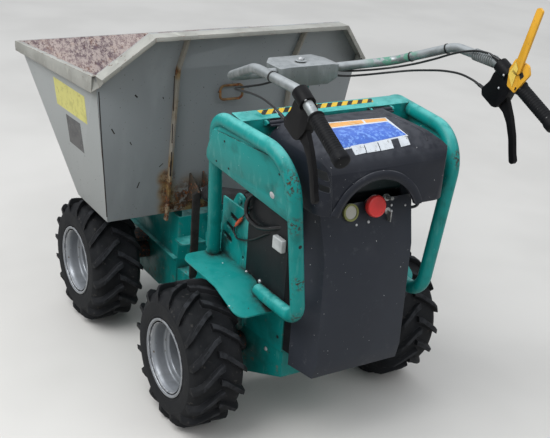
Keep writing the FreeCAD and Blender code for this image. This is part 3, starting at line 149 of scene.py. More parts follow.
class Look:
    """A procedural material whose colour, roughness and bump are built up in layers."""

    def __init__(self, name, colour, roughness, metallic=0, coat=0, specular=0.5):
        self.material = bpy.data.materials.new(name)
        self.material.use_nodes = True
        self.tree = self.material.node_tree
        self.shader = self.tree.nodes["Principled BSDF"]
        self.shader.inputs["Metallic"].default_value = metallic
        self.shader.inputs["Coat Weight"].default_value = coat
        self.shader.inputs["Coat Roughness"].default_value = 0.25
        self.shader.inputs["Specular IOR Level"].default_value = specular
        coordinates = self.tree.nodes.new("ShaderNodeTexCoord")
        self.place = coordinates.outputs["Object"]
        self.facing = coordinates.outputs["Normal"]
        self.colour = srgb(*colour)
        self.roughness = roughness
        self.metal = metallic
        self.normal = None

    def node(self, kind, values=(), **settings):
        """New node; its values are set or linked in the order of the sockets."""
        made = self.tree.nodes.new("ShaderNode" + kind)
        for key, value in settings.items():
            setattr(made, key, value)
        for key, value in dict(values).items():
            socket = made.inputs[key]
            if isinstance(value, bpy.types.NodeSocket):
                self.tree.links.new(value, socket)
            else:
                socket.default_value = value
        return made

    def math(self, operation, a, b=0):
        return self.node("Math", {0: a, 1: b}, operation=operation).outputs[0]

    def between(self, value, low, high):
        """Smooth step from 0 at low to 1 at high."""
        return self.node("MapRange", {"Value": value, "From Min": low, "From Max": high},
            interpolation_type="SMOOTHSTEP").outputs["Result"]

    def noise(self, scale, detail=3, rough=0.55, tall=1, shift=0):
        moved = self.node("Mapping", {"Vector": self.place, "Scale": (1, 1, tall),
            "Location": (shift, shift * 0.7, shift * 1.3)})
        return self.node("TexNoise", {"Vector": moved.outputs[0], "Scale": scale, "Detail": detail,
            "Roughness": rough}).outputs["Fac"]

    def patches(self, scale, low, high, detail=3, share=None, **kw):
        """Blotches of noise between two levels, at a share of their strength."""
        found = self.between(self.noise(scale, detail, **kw), low, high)
        return found if share is None else self.both(found, share)

    def edges(self, radius):
        """1 along convex and concave edges, 0 on the flats."""
        soft = self.node("Bevel", {"Radius": radius}, samples=4).outputs[0]
        true = self.node("NewGeometry").outputs["Normal"]
        dot = self.node("VectorMath", {0: soft, 1: true}, operation="DOT_PRODUCT").outputs["Value"]
        return self.between(self.math("SUBTRACT", 1, dot), 0.02, 0.12)

    def crevice(self, distance, low=0.35, high=0.9):
        """1 deep in corners, 0 in the open."""
        shade = self.node("AmbientOcclusion", {"Distance": distance}, samples=4).outputs["AO"]
        return self.between(shade, high, low)

    def axis(self, which):
        return self.node("SeparateXYZ", {0: self.place}).outputs[which]

    def slope(self, which):
        """Component of the surface normal."""
        return self.node("SeparateXYZ", {0: self.facing}).outputs[which]

    def upward(self, low, high):
        return self.between(self.slope("Z"), low, high)

    def near(self, point, radius, soft):
        """1 close to a point of the rest pose, 0 beyond the radius."""
        gap = self.node("VectorMath", {0: self.place, 1: tuple(point)}, operation="DISTANCE")
        return self.between(gap.outputs["Value"], radius, radius * soft)

    def both(self, a, b):
        return self.math("MULTIPLY", a, b)

    def either(self, a, b):
        return self.math("MAXIMUM", a, b)

    def layer(self, mask, colour=None, roughness=None, metallic=None):
        if colour is not None:
            self.colour = self.node("Mix", {"Factor": mask, 6: self.colour, 7: srgb(*colour)},
                data_type="RGBA").outputs[2]
        if roughness is not None:
            self.roughness = self.blend(mask, self.roughness, roughness)
        if metallic is not None:
            self.metal = self.blend(mask, self.metal, metallic)

    def blend(self, mask, a, b):
        return self.node("Mix", {"Factor": mask, 2: a, 3: b}).outputs[0]

    def bump(self, height, strength, distance):
        values = {"Height": height, "Strength": strength, "Distance": distance}
        if self.normal is not None:
            values["Normal"] = self.normal
        self.normal = self.node("Bump", values).outputs[0]

    def grain(self, scale, strength, distance, detail=3):
        self.bump(self.noise(scale, detail), strength, distance)

    def done(self):
        for name, value in (("Base Color", self.colour), ("Roughness", self.roughness),
                ("Metallic", self.metal), ("Normal", self.normal)):
            if isinstance(value, bpy.types.NodeSocket):
                self.tree.links.new(value, self.shader.inputs[name])
            elif value is not None:
                self.shader.inputs[name].default_value = value
        return self.material


RUST = (104, 58, 32)
DARK_RUST = (62, 38, 28)
ORANGE_RUST = (164, 92, 42)
# Colour of the grime and painted shade in crevices of the teal paint.
CREVICE_GRIME_AND_SHADE = (46, 44, 40)


# top is the colour of the painted highlight on the upward faces.
def teal_paint(name, chips=(), darken_and_dust_below=0.45, top=(84, 174, 170)):
    """Worn teal gloss paint: faded, a painted highlight on the upward faces, grime and painted shade in
    corners, darker and dusty towards the bottom, chipped to rust on edges and at named points.
    """
    look = Look(name, (4, 128, 124), 0.4, coat=0.06, specular=0.28)
    look.layer(look.patches(3.5, 0.35, 0.7), (8, 138, 134), 0.45)
    look.layer(look.patches(17, 0.52, 0.75, 6), (4, 108, 104))
    look.layer(look.patches(60, 0.55, 0.72, tall=0.25, share=0.22), (110, 176, 168))
    # Painted highlight: the upward faces are lighter, standing for the sky's light and sheen on the tops.
    look.layer(look.both(look.upward(0.5, 0.95), look.patches(30, 0.25, 0.6, 5)), top, 0.45)
    # Grime and painted shade: darker in corners and crevices, found by ambient occlusion.
    look.layer(look.both(look.crevice(0.035), look.patches(26, 0.3, 0.6)), CREVICE_GRIME_AND_SHADE, 0.8)
    # Darker, duller teal towards the bottom, with pale dust flecks low down.
    height = look.between(look.axis("Z"), darken_and_dust_below + 0.1, darken_and_dust_below - 0.25)
    look.layer(look.both(height, look.patches(12, 0.42, 0.75, 6)), (18, 90, 88), 0.75)
    look.layer(look.both(height, look.patches(45, 0.6, 0.7, 5)), (104, 112, 104), 0.85)
    worn = look.both(look.edges(0.0022), look.patches(38, 0.5, 0.62, 5))
    spots = look.patches(115, 0.735, 0.765, 2)
    for point, radius in chips:
        close = look.near(point, radius, 0.15)
        worn = look.either(worn, look.both(close, look.patches(95, 0.5, 0.56, 6, rough=0.7)))
    worn = look.either(worn, spots)
    look.layer(worn, DARK_RUST, 0.85)
    look.layer(look.both(look.both(worn, look.patches(210, 0.56, 0.64)), 0.5), ORANGE_RUST)
    look.layer(look.patches(140, 0.755, 0.775, shift=3, detail=2), (214, 222, 214), 0.6)
    look.bump(worn, -0.4, 0.0004)
    look.grain(160, 0.06, 0.0004, 2)
    look.grain(6, 0.1, 0.002)
    return look.done()


def skip_grey(name, rusted=(), base=(149, 154, 157)):
    """Old grey paint with runs, freckles of rust, heavy rust at named places, and painted light on the side
    faces.
    """
    look = Look(name, base, 0.5)
    look.layer(look.patches(2.2, 0.35, 0.7, tall=0.4), lighter(base, -12), 0.58)
    look.layer(look.patches(9, 0.5, 0.8, 8, tall=0.35, share=0.5),
        lighter(base, 14))
    # Painted light: the side faces, facing along Y, are lighter, for the light that falls on the skip's sides.
    lit_side_faces = look.between(look.math("ABSOLUTE", look.slope("Y")), 0.6, 0.8)
    look.layer(look.both(lit_side_faces, 0.7), lighter(base, 22, 21, 17))
    look.layer(look.patches(150, 0.72, 0.75, 2), (60, 58, 54), 0.8)
    look.layer(look.patches(70, 0.74, 0.78, 3, shift=2), (98, 84, 70), 0.8)
    seams = look.both(look.edges(0.004), look.patches(18, 0.42, 0.62, 6))
    look.layer(seams, RUST, 0.85)
    for point, radius, strength in rusted:
        close = look.near(point, radius, 0.45)
        stain = look.both(close, look.patches(9, 0.25, 0.55, 6))
        look.layer(look.both(stain, 0.9 * strength), (142, 112, 54), 0.7)
        core = look.both(look.near(point, radius * 0.85, 0.3),
            look.patches(42, 0.45, 0.54, 7, rough=0.7))
        look.layer(look.both(core, strength), (72, 44, 28), 0.9)
        look.layer(look.both(look.both(core, look.patches(110, 0.52, 0.64)), strength), (146, 84, 40))
    look.grain(3, 0.35, 0.012, 1)
    look.grain(90, 0.08, 0.0006, 3)
    return look.done()


def skip_inside():
    """Scoured and rusted inner sheet: purple-brown with pale flecks left from the paint."""
    look = Look("skip_inner_wear", (128, 111, 110), 0.74)
    look.layer(look.patches(4, 0.42, 0.62, 6), (88, 72, 78), 0.78)
    look.layer(look.patches(22, 0.54, 0.66, 7, rough=0.7), (112, 84, 74), 0.8)
    pale = look.between(look.axis("X"), 0.3, 0.75)
    pale = look.both(pale, look.patches(70, 0.44, 0.54, 8, rough=0.8, tall=0.5))
    look.layer(look.both(pale, 0.6), (186, 174, 166), 0.65)
    look.layer(look.patches(120, 0.56, 0.62, 7, rough=0.8, tall=0.5), (160, 148, 142), 0.65)
    look.layer(look.patches(120, 0.62, 0.67, 4), (74, 50, 42), 0.9)
    look.grain(70, 0.3, 0.001, 5)
    look.grain(4, 0.3, 0.01)
    return look.done()


def rim_cream():
    look = Look("edge_cream", (158, 158, 152), 0.5)
    look.layer(look.patches(8, 0.4, 0.7, 5), (138, 138, 132), 0.6)
    look.layer(look.patches(30, 0.55, 0.75, 6), (172, 172, 164))
    worn = look.both(look.edges(0.003), look.patches(30, 0.47, 0.58, 7))
    freckles = look.patches(75, 0.6, 0.66, 6, rough=0.7)
    worn = look.either(worn, look.both(freckles, look.patches(4, 0.45, 0.6)))
    look.layer(worn, RUST, 0.88)
    look.layer(look.both(worn, look.patches(90, 0.5, 0.6)), DARK_RUST)
    look.bump(worn, -0.4, 0.0006)
    look.grain(5, 0.25, 0.006)
    return look.done()


def hood_plastic(name, base, rough):
    """Moulded near-black plastic: fine grain, scuffs, dust and painted light on the upward faces, and pale
    flecks.
    """
    look = Look(name, base, rough, specular=0.22)
    look.layer(look.patches(4, 0.4, 0.7), lighter(base, 7), rough + 0.08)
    look.layer(look.patches(14, 0.5, 0.75, 7, share=0.35), (60, 62, 68), 0.6)
    scuff = look.both(look.patches(28, 0.56, 0.68, 8, rough=0.75),
        look.patches(3.2, 0.5, 0.62, shift=5))
    look.layer(look.both(scuff, 0.4), (104, 106, 110), 0.7)
    # Dust and painted light: the upward faces are lighter.
    look.layer(look.both(look.upward(0.5, 0.9), look.patches(40, 0.3, 0.6, 6, share=0.3)),
        (96, 98, 104), 0.7)
    look.layer(look.both(look.edges(0.003), look.patches(22, 0.42, 0.62)), (84, 86, 90), 0.6)
    look.layer(look.patches(130, 0.745, 0.765, 2), (196, 198, 198), 0.7)
    look.grain(420, 0.12, 0.0003, 2)
    look.grain(5, 0.2, 0.004)
    return look.done()


def black_part(name, base=(26, 27, 30), rough=0.42, specular=0.5):
    look = Look(name, base, rough, specular=specular)
    look.layer(look.patches(20, 0.45, 0.75, 6), lighter(base, 9), rough + 0.12)
    look.layer(look.both(look.edges(0.0012), look.patches(60, 0.52, 0.64)), lighter(base, 44), 0.55)
    look.layer(look.both(look.crevice(0.008), 0.25), (44, 42, 38), 0.85)
    look.layer(look.patches(150, 0.74, 0.76, 2), (120, 120, 118), 0.7)
    look.grain(300, 0.1, 0.0003, 2)
    return look.done()


def galvanised(name, green=()):
    """Zinc tube: mottled spangle, dull grey weathering, dirt and painted shade in crevices, weathering streaks
    and painted shade on the faces that do not face up, pale bloom and green stains at named points.
    """
    look = Look(name, (162, 167, 169), 0.36, metallic=0.5)
    look.layer(look.patches(45, 0.42, 0.66, 5, share=0.6), (124, 129, 131), 0.46, 0.45)
    look.layer(look.patches(90, 0.5, 0.7, 7, rough=0.7, share=0.6), (178, 182, 182), 0.42, 0.5)
    look.layer(look.patches(9, 0.5, 0.75, 5, share=0.6), (112, 117, 119), 0.5, 0.4)
    # Dirt and painted shade in crevices.
    look.layer(look.both(look.crevice(0.02), look.patches(50, 0.35, 0.6)), (64, 62, 58), 0.85, 0)
    # Weathering streaks and painted shade: the faces that do not face up are darker.
    side = look.math("SUBTRACT", 1, look.upward(0.1, 0.7))
    look.layer(look.both(side, look.patches(26, 0.25, 0.6, 6, tall=0.15)),
        (112, 118, 118), 0.5, 0.4)
    for point, radius in green:
        close = look.both(look.near(point, radius, 0.3), look.patches(60, 0.46, 0.56, 6))
        look.layer(close, (86, 140, 120), 0.75, 0)
    look.layer(look.patches(170, 0.68, 0.72, 3), (52, 50, 48), 0.8, 0)
    look.grain(120, 0.18, 0.0005, 4)
    return look.done()


def tyre_rubber():
    """Dusty black rubber: brown-grey dirt between the lugs, polished lug tops."""
    look = Look("tyre_rubber", (14, 16, 19), 0.7, specular=0.25)
    spread = look.node("VectorMath", {0: look.place, 1: (1, 0, 1)}, operation="MULTIPLY")
    radius = look.node("VectorMath", {0: spread.outputs[0]}, operation="LENGTH").outputs["Value"]
    look.layer(look.patches(14, 0.4, 0.7, 6), (20, 22, 26), 0.8)
    low = look.between(radius, TYRE_RADIUS - 0.004, TYRE_RADIUS - LUG_HEIGHT - 0.004)
    look.layer(look.both(low, look.patches(26, 0.45, 0.68, 7)), (32, 33, 35), 0.9)
    look.layer(look.both(low, look.patches(60, 0.62, 0.72, 7)), (66, 64, 62), 0.92)
    tops = look.both(look.between(radius, TYRE_RADIUS - 0.003, TYRE_RADIUS - 0.0005),
        look.patches(50, 0.35, 0.6))
    look.layer(look.both(tops, 0.6), (54, 56, 60), 0.85)
    look.layer(look.both(look.edges(0.003), look.patches(40, 0.4, 0.62)), (50, 51, 54), 0.85)
    look.grain(70, 0.25, 0.0012, 5)
    look.grain(420, 0.15, 0.0003, 2)
    return look.done()


def wheel_silver():
    look = Look("wheel_silver", (142, 146, 151), 0.34, metallic=0.45)
    look.layer(look.patches(16, 0.45, 0.75, 6), (122, 126, 130), 0.45)
    # Dirt and painted shade in the hollows of the wheel.
    look.layer(look.both(look.crevice(0.05, 0.3, 0.95), look.patches(18, 0.3, 0.7, 5)),
        (82, 84, 86), 0.7)
    look.layer(look.both(look.edges(0.0025), look.patches(50, 0.4, 0.55, 5)), (206, 208, 210), 0.35)
    look.layer(look.patches(95, 0.68, 0.72, 4), (96, 78, 60), 0.85)
    look.grain(80, 0.08, 0.0005, 3)
    return look.done()


def plain_metal(name, base, rough=0.4, metallic=0.8, rust=0):
    look = Look(name, base, rough, metallic=metallic)
    look.layer(look.patches(40, 0.4, 0.7, 5), darker(base, 0.75), rough + 0.15)
    if rust:
        look.layer(look.patches(60, 0.62 - 0.25 * rust, 0.72 - 0.2 * rust, detail=6), RUST, 0.9, 0)
        look.layer(look.patches(140, 0.6, 0.68, 4), ORANGE_RUST, 0.9, 0)
    # Painted shade in crevices.
    look.layer(look.both(look.crevice(0.01), 0.6), (48, 44, 40), 0.85)
    look.grain(200, 0.12, 0.0004, 3)
    return look.done()


def label_paint(name, base, fleck, cover=0.57):
    """Blank label: slightly faded, scuffed through in flecks."""
    look = Look(name, base, 0.42, coat=0.2)
    look.layer(look.patches(30, 0.45, 0.7, 5), darker(base, 0.9), 0.5)
    look.layer(look.patches(85, cover, cover + 0.06, detail=6, rough=0.7), fleck, 0.6)
    look.grain(160, 0.05, 0.0002)
    return look.done()


def hazard_paint():
    """Yellow strip with slanted black bars, rubbed."""
    look = Look("hazard_strip", (216, 178, 44), 0.45, coat=0.15)
    lean = look.math("ADD", look.axis("Y"), look.math("MULTIPLY", look.axis("X"), 0.9))
    bars = look.math("FRACT", look.math("MULTIPLY", lean, 1 / HAZARD_PITCH))
    look.layer(look.both(look.between(bars, 0.5, 0.54), look.between(bars, 1, 0.97)), (34, 32, 30), 0.5)
    look.layer(look.patches(90, 0.6, 0.66, 6, rough=0.7), (92, 132, 118), 0.6)
    return look.done()


def plain_paint(name, base, rough=0.45, wear=0.5, coat=0.1):
    look = Look(name, base, rough, coat=coat)
    look.layer(look.patches(12, 0.4, 0.7, 5), darker(base, 0.86), rough + 0.1)
    look.layer(look.both(look.edges(0.002), look.patches(45, 0.62 - 0.2 * wear, 0.7 - 0.15 * wear, detail=5)),
        (84, 72, 58), 0.8)
    # Painted shade in crevices.
    look.layer(look.both(look.crevice(0.015), 0.5), (60, 54, 44), 0.85)
    look.layer(look.patches(120, 0.7, 0.74, 3), (70, 62, 52), 0.85)
    look.grain(150, 0.08, 0.0004, 2)
    return look.done()


# Mesh helpers

def collect(node):
    """The CAD node's mesh as one welded bmesh with its flat areas as single faces."""
    made = bmesh.new()
    made.from_mesh(nodes[node].data)
    bmesh.ops.remove_doubles(made, verts=made.verts, dist=CAD_WELD)
    bmesh.ops.dissolve_limit(made, angle_limit=math.radians(FLAT_ANGLE), verts=made.verts, edges=made.edges,
        delimit={"NORMAL"})
    return made


def round_edges(made, width, angle, segments):
    sharp = [edge for edge in made.edges
        if len(edge.link_faces) == 2 and edge.calc_face_angle(0) > math.radians(angle)]
    if width and sharp:
        bmesh.ops.bevel(made, geom=sharp, offset=width, offset_type="OFFSET", segments=segments, profile=0.5,
            affect="EDGES", clamp_overlap=True)


def piece(name, made, materials, body, replaced=(), origin=None, smooth=SMOOTH_ANGLE):
    """Turns a bmesh into a piece of the scene that rides on a body."""
    mesh = bpy.data.meshes.new(name)
    made.normal_update()
    made.to_mesh(mesh)
    made.free()
    for material in materials:
        mesh.materials.append(material)
    mesh.polygons.foreach_set("use_smooth", [True] * len(mesh.polygons))
    mesh.set_sharp_from_angle(angle=math.radians(smooth))
    obj = added(name, mesh)
    if origin is not None:
        obj.location = origin
    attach(obj, body)
    if replaced:
        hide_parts(*replaced)
    return obj


def dress(node, materials, width, choose=None, angle=SHARP_ANGLE, segments=2):
    """Stands for a CAD node with the same shape, its edges rounded, and a material for each face."""
    made = collect(node)
    if choose:
        for face in made.faces:
            face.material_index = choose(face)
    round_edges(made, width, angle, segments)
    if not isinstance(materials, (list, tuple)):
        materials = [materials]
    return piece(node + "_finish", made, materials, body_of[node], [node])


def ring_faces(made, loops):
    """Skins a row of closed vertex loops and caps both ends."""
    rows = [[made.verts.new(point) for point in loop] for loop in loops]
    for here, there in zip(rows, rows[1:]):
        for k in range(len(here)):
            follow = (k + 1) % len(here)
            made.faces.new((here[k], here[follow], there[follow], there[k]))
    made.faces.new(list(reversed(rows[0])))
    made.faces.new(rows[-1])


def lathe(made, profile, segments, centre=Vector(), axis=Vector((0, 1, 0)), closed=True):
    """Turns a profile of (radius, distance along the axis) about an axis."""
    side = axis.orthogonal().normalized()
    other = axis.cross(side).normalized()
    rows = []
    for k in range(segments):
        angle = 2 * math.pi * k / segments
        out = side * math.cos(angle) + other * math.sin(angle)
        rows.append([made.verts.new(centre + axis * along + out * radius) for radius, along in profile])
    count = len(profile)
    for k in range(segments):
        here, there = rows[k], rows[(k + 1) % segments]
        for j in range(count if closed else count - 1):
            quad = [here[j], here[(j + 1) % count], there[(j + 1) % count], there[j]]
            if any(v.co != quad[0].co for v in quad):
                made.faces.new(quad)
    if not closed:
        for j in (0, count - 1):
            if profile[j][0] < WELD:
                bmesh.ops.remove_doubles(made, verts=[row[j] for row in rows], dist=WELD)
    bmesh.ops.dissolve_degenerate(made, edges=made.edges, dist=WELD / 10)


def flowing(points, steps):
    """Denser points on a smooth line through the given ones."""
    found = []
    last = len(points) - 1
    for i in range(last):
        p0, p1, p2, p3 = (Vector(points[min(max(k, 0), last)]) for k in range(i - 1, i + 3))
        for k in range(steps):
            t = k / steps
            found.append(0.5 * ((2 * p1) + (p2 - p0) * t + (2 * p0 - 5 * p1 + 4 * p2 - p3) * t * t
                + (3 * p1 - p0 - 3 * p2 + p3) * t * t * t))
    found.append(Vector(points[last]))
    return found


def oriented(made):
    bmesh.ops.recalc_face_normals(made, faces=made.faces)
    return made


def tree_of(obj):
    """Ray casting tree of a piece in the row frame."""
    made = bmesh.new()
    made.from_mesh(obj.data)
    made.transform(Matrix.Translation(obj.location))
    found = BVHTree.FromBMesh(made)
    made.free()
    return found


def node_tree(*names):
    """Ray casting tree of CAD nodes in the rest pose."""
    made = bmesh.new()
    for name in names:
        made.from_mesh(nodes[name].data)
    found = BVHTree.FromBMesh(made)
    made.free()
    return found


def on_surface(tree, pixel, lift=0):
    """Point of the surface behind a pixel, and its normal towards the camera."""
    ray = pixel_ray(*pixel)
    place, normal, _, _ = tree.ray_cast(CAMERA_PLACE, ray)
    if place is None:
        depth = (tree.find_nearest(ROW_MIDDLE)[0] - CAMERA_PLACE).dot(ray)
        place, normal, _, _ = tree.find_nearest(CAMERA_PLACE + ray * depth)
    if normal.dot(ray) > 0:
        normal = -normal
    return place + normal * lift, normal


def mixed(start, end, share):
    """Pixel between two pixels."""
    return (start[0] + (end[0] - start[0]) * share, start[1] + (end[1] - start[1]) * share)


def spot(pixel, *names):
    """Place on the nearest of some CAD nodes behind a pixel."""
    return on_surface(node_tree(*names), pixel)[0]


def sticker(name, corners, tree, material, lift=0.0004, body="rear_unit", cells=14):
    """Thin patch that lies on a surface; its four corners are pixels, in order round the patch."""
    made = bmesh.new()
    rows = []
    for j in range(cells + 1):
        start = mixed(corners[0], corners[3], j / cells)
        end = mixed(corners[1], corners[2], j / cells)
        rows.append([made.verts.new(on_surface(tree, mixed(start, end, i / cells), lift)[0])
            for i in range(cells + 1)])
    for here, there in zip(rows, rows[1:]):
        for k in range(cells):
            made.faces.new((here[k], here[k + 1], there[k + 1], there[k]))
    made.normal_update()
    if made.faces[:][0].normal.dot(pixel_ray(*corners[0])) > 0:
        bmesh.ops.reverse_faces(made, faces=made.faces)
        made.normal_update()
    bmesh.ops.solidify(made, geom=made.faces[:], thickness=lift + STICKER_DEPTH)
    return piece(name, oriented(made), [material], body)


def bead(name, line, width, height, material, body="rear_unit"):
    """Low rounded ridge along a line of places and their surface normals."""
    made = bmesh.new()
    loops = []
    last = len(line) - 1
    for i, (place, normal) in enumerate(line):
        way = line[min(i + 1, last)][0] - line[max(i - 1, 0)][0]
        side = normal.cross(way).normalized()
        loops.append([place + side * (x * width) + normal * (z * height)
            for x, z in BEAD_SECTION])
    ring_faces(made, loops)
    return piece(name, oriented(made), [material], body, smooth=50)


def pixel_line(tree, pixels, steps=8):
    """Places and normals of a surface along a smooth line of pixels."""
    return [on_surface(tree, (p.x, p.y)) for p in flowing([(u, v, 0) for u, v in pixels], steps)]


def pixel_row(tree, start, end, steps):
    """Places and normals of a surface along a straight row of pixels."""
    return [on_surface(tree, mixed(start, end, k / steps)) for k in range(steps + 1)]


def wire(name, points, radius, material):
    """Round rod or cord along a smooth line."""
    made = bmesh.new()
    path = flowing(points, 8)
    last = len(path) - 1
    side = (path[1] - path[0]).orthogonal()
    loops = []
    for i, place in enumerate(path):
        way = (path[min(i + 1, last)] - path[max(i - 1, 0)]).normalized()
        side = (side - way * side.dot(way)).normalized()
        other = way.cross(side)
        loops.append([place + (side * math.cos(a) + other * math.sin(a)) * radius
            for a in (2 * math.pi * k / WIRE_SIDES for k in range(WIRE_SIDES))])
    ring_faces(made, loops)
    return piece(name, oriented(made), [material], "rear_unit", smooth=60)


def band(name, profile, place, way, material):
    """Turned collar round a line through a place."""
    made = bmesh.new()
    lathe(made, profile, BAND_SEGMENTS, place, way.normalized())
    bmesh.ops.remove_doubles(made, verts=made.verts, dist=WELD)
    return piece(name, oriented(made), [material], "rear_unit", smooth=35)


def dome(name, place, normal, radius, height, material):
    """Low rounded screw or rivet head on a surface."""
    made = bmesh.new()
    profile = [(radius * out, height * rise) for out, rise in DOME_SECTION]
    profile += [(radius, -DOME_DEPTH), (0, -DOME_DEPTH)]
    lathe(made, profile, DOME_SEGMENTS, place, normal, closed=False)
    return piece(name, oriented(made), [material], "rear_unit", smooth=60)


def slab(name, points, thick, material):
    """Flat sheet between some points, with its thickness away from their normal."""
    made = bmesh.new()
    face = made.faces.new([made.verts.new(p) for p in points])
    made.normal_update()
    way = face.normal.copy() * -thick
    grown = bmesh.ops.extrude_face_region(made, geom=[face])
    bmesh.ops.translate(made, verts=[v for v in grown["geom"] if isinstance(v, bmesh.types.BMVert)], vec=way)
    return piece(name, oriented(made), [material], "rear_unit")


make_camera()

# Wheels

# Distance from the middle, sweep, drop and share of the width along a lug
LUG_STATIONS = [(-0.006, 0, 0, 1), (0.012, 2.4, 0, 1), (0.036, 8, 0, 1),
    (0.058, 13, 0, 1), (0.071, 16.6, 0.007, 0.95), (0.082, 20, 0.02, 0.85)]
# Radius and distance along the axle
TYRE_WALL = [
    (0.1018, 0.079), (0.116, 0.079), (0.12, 0.0815), (0.124, 0.0812), (0.129, 0.0822), (0.14, 0.0829),
    (0.152, 0.083), (0.156, 0.0838), (0.16, 0.0826), (0.169, 0.078), (0.176, 0.073), (0.1825, 0.066),
    (0.187, 0.059), (TREAD_RADIUS - 0.0012, 0.045), (TREAD_RADIUS, 0.02)]
RIM_PROFILE = [
    (0.1068, 0.0812), (0.1085, 0.0826), (0.1105, 0.083), (0.1126, 0.0826), (0.114, 0.0814), (0.114, 0.0798),
    (0.1128, 0.079), (0.1015, 0.079), (0.1015, -0.079), (0.1128, -0.079), (0.114, -0.0798),
    (0.114, -0.0812), (0.113, -0.0825), (0.111, -0.083), (0.0978, -0.083), (0.0975, -0.032),
    (0.042, -0.032), (0.042, -0.028), (0.07, -0.028), (0.0735, -0.0272), (0.0752, -0.025),
    (0.076, -0.0215), (0.0762, 0.025), (0.0768, 0.029), (0.079, 0.0312), (0.088, 0.033), (0.0912, 0.0345),
    (0.0928, 0.037), (0.0934, 0.04), (0.0938, 0.056), (0.0946, 0.064), (0.0968, 0.0705), (0.101, 0.0755),
    (0.105, 0.0785), (0.1062, 0.08)]
HUB_PROFILE = [(0.0201, -0.032), (0.0201, -0.0125), (0.03, -0.012), (0.042, -0.012), (0.0452, -0.013),
    (0.046, -0.015), (0.046, -0.032)]
DRUM_PROFILE = [(0.0201, -0.078), (0.064, -0.078), (0.066, -0.077), (0.066, -0.032), (0.0201, -0.032)]
BOLT_PROFILE = [(0, 0.0065), (0.0042, 0.0065), (0.0058, 0.0055), (0.0058, -0.001), (0, -0.001)]
BOLT_COUNT = 5
BOLT_PHASE = 0.2
BOLT_CIRCLE = 0.0355
HUB_FACE = -0.012


def tyre_mesh(side):
    made = bmesh.new()
    line = [(p.x, min(p.y, TYRE_HALF)) for p in flowing([(r, y, 0) for r, y in TYRE_WALL[1:]], 3)]
    line = [TYRE_WALL[0]] + line + [(TREAD_RADIUS, 0)]
    lathe(made, line + [(r, -y) for r, y in reversed(line[:-1])], 120)
    for sign, offset in ((1, 0), (-1, 180 / LUG_COUNT)):
        for i in range(LUG_COUNT):
            start = LUG_PHASE + offset + i * 360 / LUG_COUNT
            loops = []
            for y, sweep, drop, width in LUG_STATIONS:
                top = TYRE_RADIUS - drop
                root = TREAD_RADIUS - LUG_ROOT_DEPTH - drop * LUG_ROOT_FALL
                section = [(root, LUG_BASE_HALF), (top - LUG_SHOULDER_DROP, LUG_SHOULDER_HALF),
                    (top, LUG_TOP_HALF)]
                section += [(r, -half) for r, half in reversed(section)]
                turned = [(r, math.radians(start + sweep + half * width)) for r, half in section]
                loops.append([Vector((r * math.cos(a), side * sign * y, r * math.sin(a))) for r, a in turned])
            ring_faces(made, loops)
    return oriented(made)


def rim_mesh(side):
    made = bmesh.new()
    for profile, segments in ((RIM_PROFILE, 96), (HUB_PROFILE, 64), (DRUM_PROFILE, 64)):
        lathe(made, [(r, side * y) for r, y in profile], segments)
    for k in range(BOLT_COUNT):
        angle = 2 * math.pi * (k + BOLT_PHASE) / BOLT_COUNT
        centre = Vector((BOLT_CIRCLE * math.cos(angle), side * HUB_FACE, BOLT_CIRCLE * math.sin(angle)))
        lathe(made, BOLT_PROFILE, 6, centre, Vector((0, side, 0)), closed=False)
    return oriented(made)


rubber = tyre_rubber()
silver = wheel_silver()
for end in ("front", "rear"):
    for word, side in SIDES:
        low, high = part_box("tyre_%s_%s" % (end, word))
        for kind, mesh, material in (("tyre", tyre_mesh, rubber), ("rim", rim_mesh, silver)):
            node = "%s_%s_%s" % (kind, end, word)
            piece(node + "_finish", mesh(side), [material], body_of[node], [node],
                (low + high) / 2, 38)

# Skip

SKIP_MIDDLE = Vector((0.45, 0, 0.78))
SMALLEST_INNER_FACE = 0.001
# Pixel, radius in metres and strength of each rust stain
SHELL_STAINS = [((186, 202), 0.12, 0.95), ((204, 206), 0.07, 0.9), ((169, 207), 0.05, 1),
    ((167, 178), 0.045, 0.8), ((166, 192), 0.04, 0.8)]
RIB_STAINS = [((171, 205), 0.12, 1), ((172, 176), 0.09, 0.9), ((176, 72), 0.03, 0.9), ((175, 110), 0.05, 0.25)]
# Pixel rows of the dark lines along the left rib: painted shadow of the rib's side face.
RIB_SHADOW_LINES = [((174.6, 76), (173.4, 111)), ((172.8, 124), (172, 143)), ((171.6, 152), (170.4, 176))]
SEAM_PIXELS = [(98.7, 92), (101.6, 140), (104.4, 180), (107, 217)]
NICKS = [((111.5, 129), (114.5, 134), 0.004), ((135, 95), (137.5, 97.5), 0.005),
    ((159, 167), (163, 163.5), 0.003), ((139.5, 182), (137, 188), 0.004),
    ((163, 97), (163.5, 99), 0.003), ((130, 142), (131.5, 145), 0.003)]
# Pixel, node and lift of each corner of the fold at the rim's rear corner
FOLD_CORNERS = [((92.2, 75.2), "skip_rim", 0.0004), ((91.2, 92), "skip_rim", 0.0004),
    ((98.6, 86.4), "skip_shell", 0.01), ((104, 82.6), "skip_rim", 0.0004),
    ((98.2, 74.4), "skip_rim", 0.0004)]
FOLD_FACES = ((0, 1, 2), (0, 2, 4), (4, 2, 3))
FOLD_THICKNESS = 0.0016
SKIP_LABEL = [(53.2, 76.4), (84.2, 96.6), (87.4, 124.6), (57.4, 103.4)]
SKIP_PLATE = [(66, 113.8), (80, 123.6), (84.4, 153.4), (70.2, 141.4)]


def skip_side(face):
    inward = face.normal.dot(SKIP_MIDDLE - face.calc_center_median()) > 0
    return 1 if inward and face.calc_area() > SMALLEST_INNER_FACE else 0


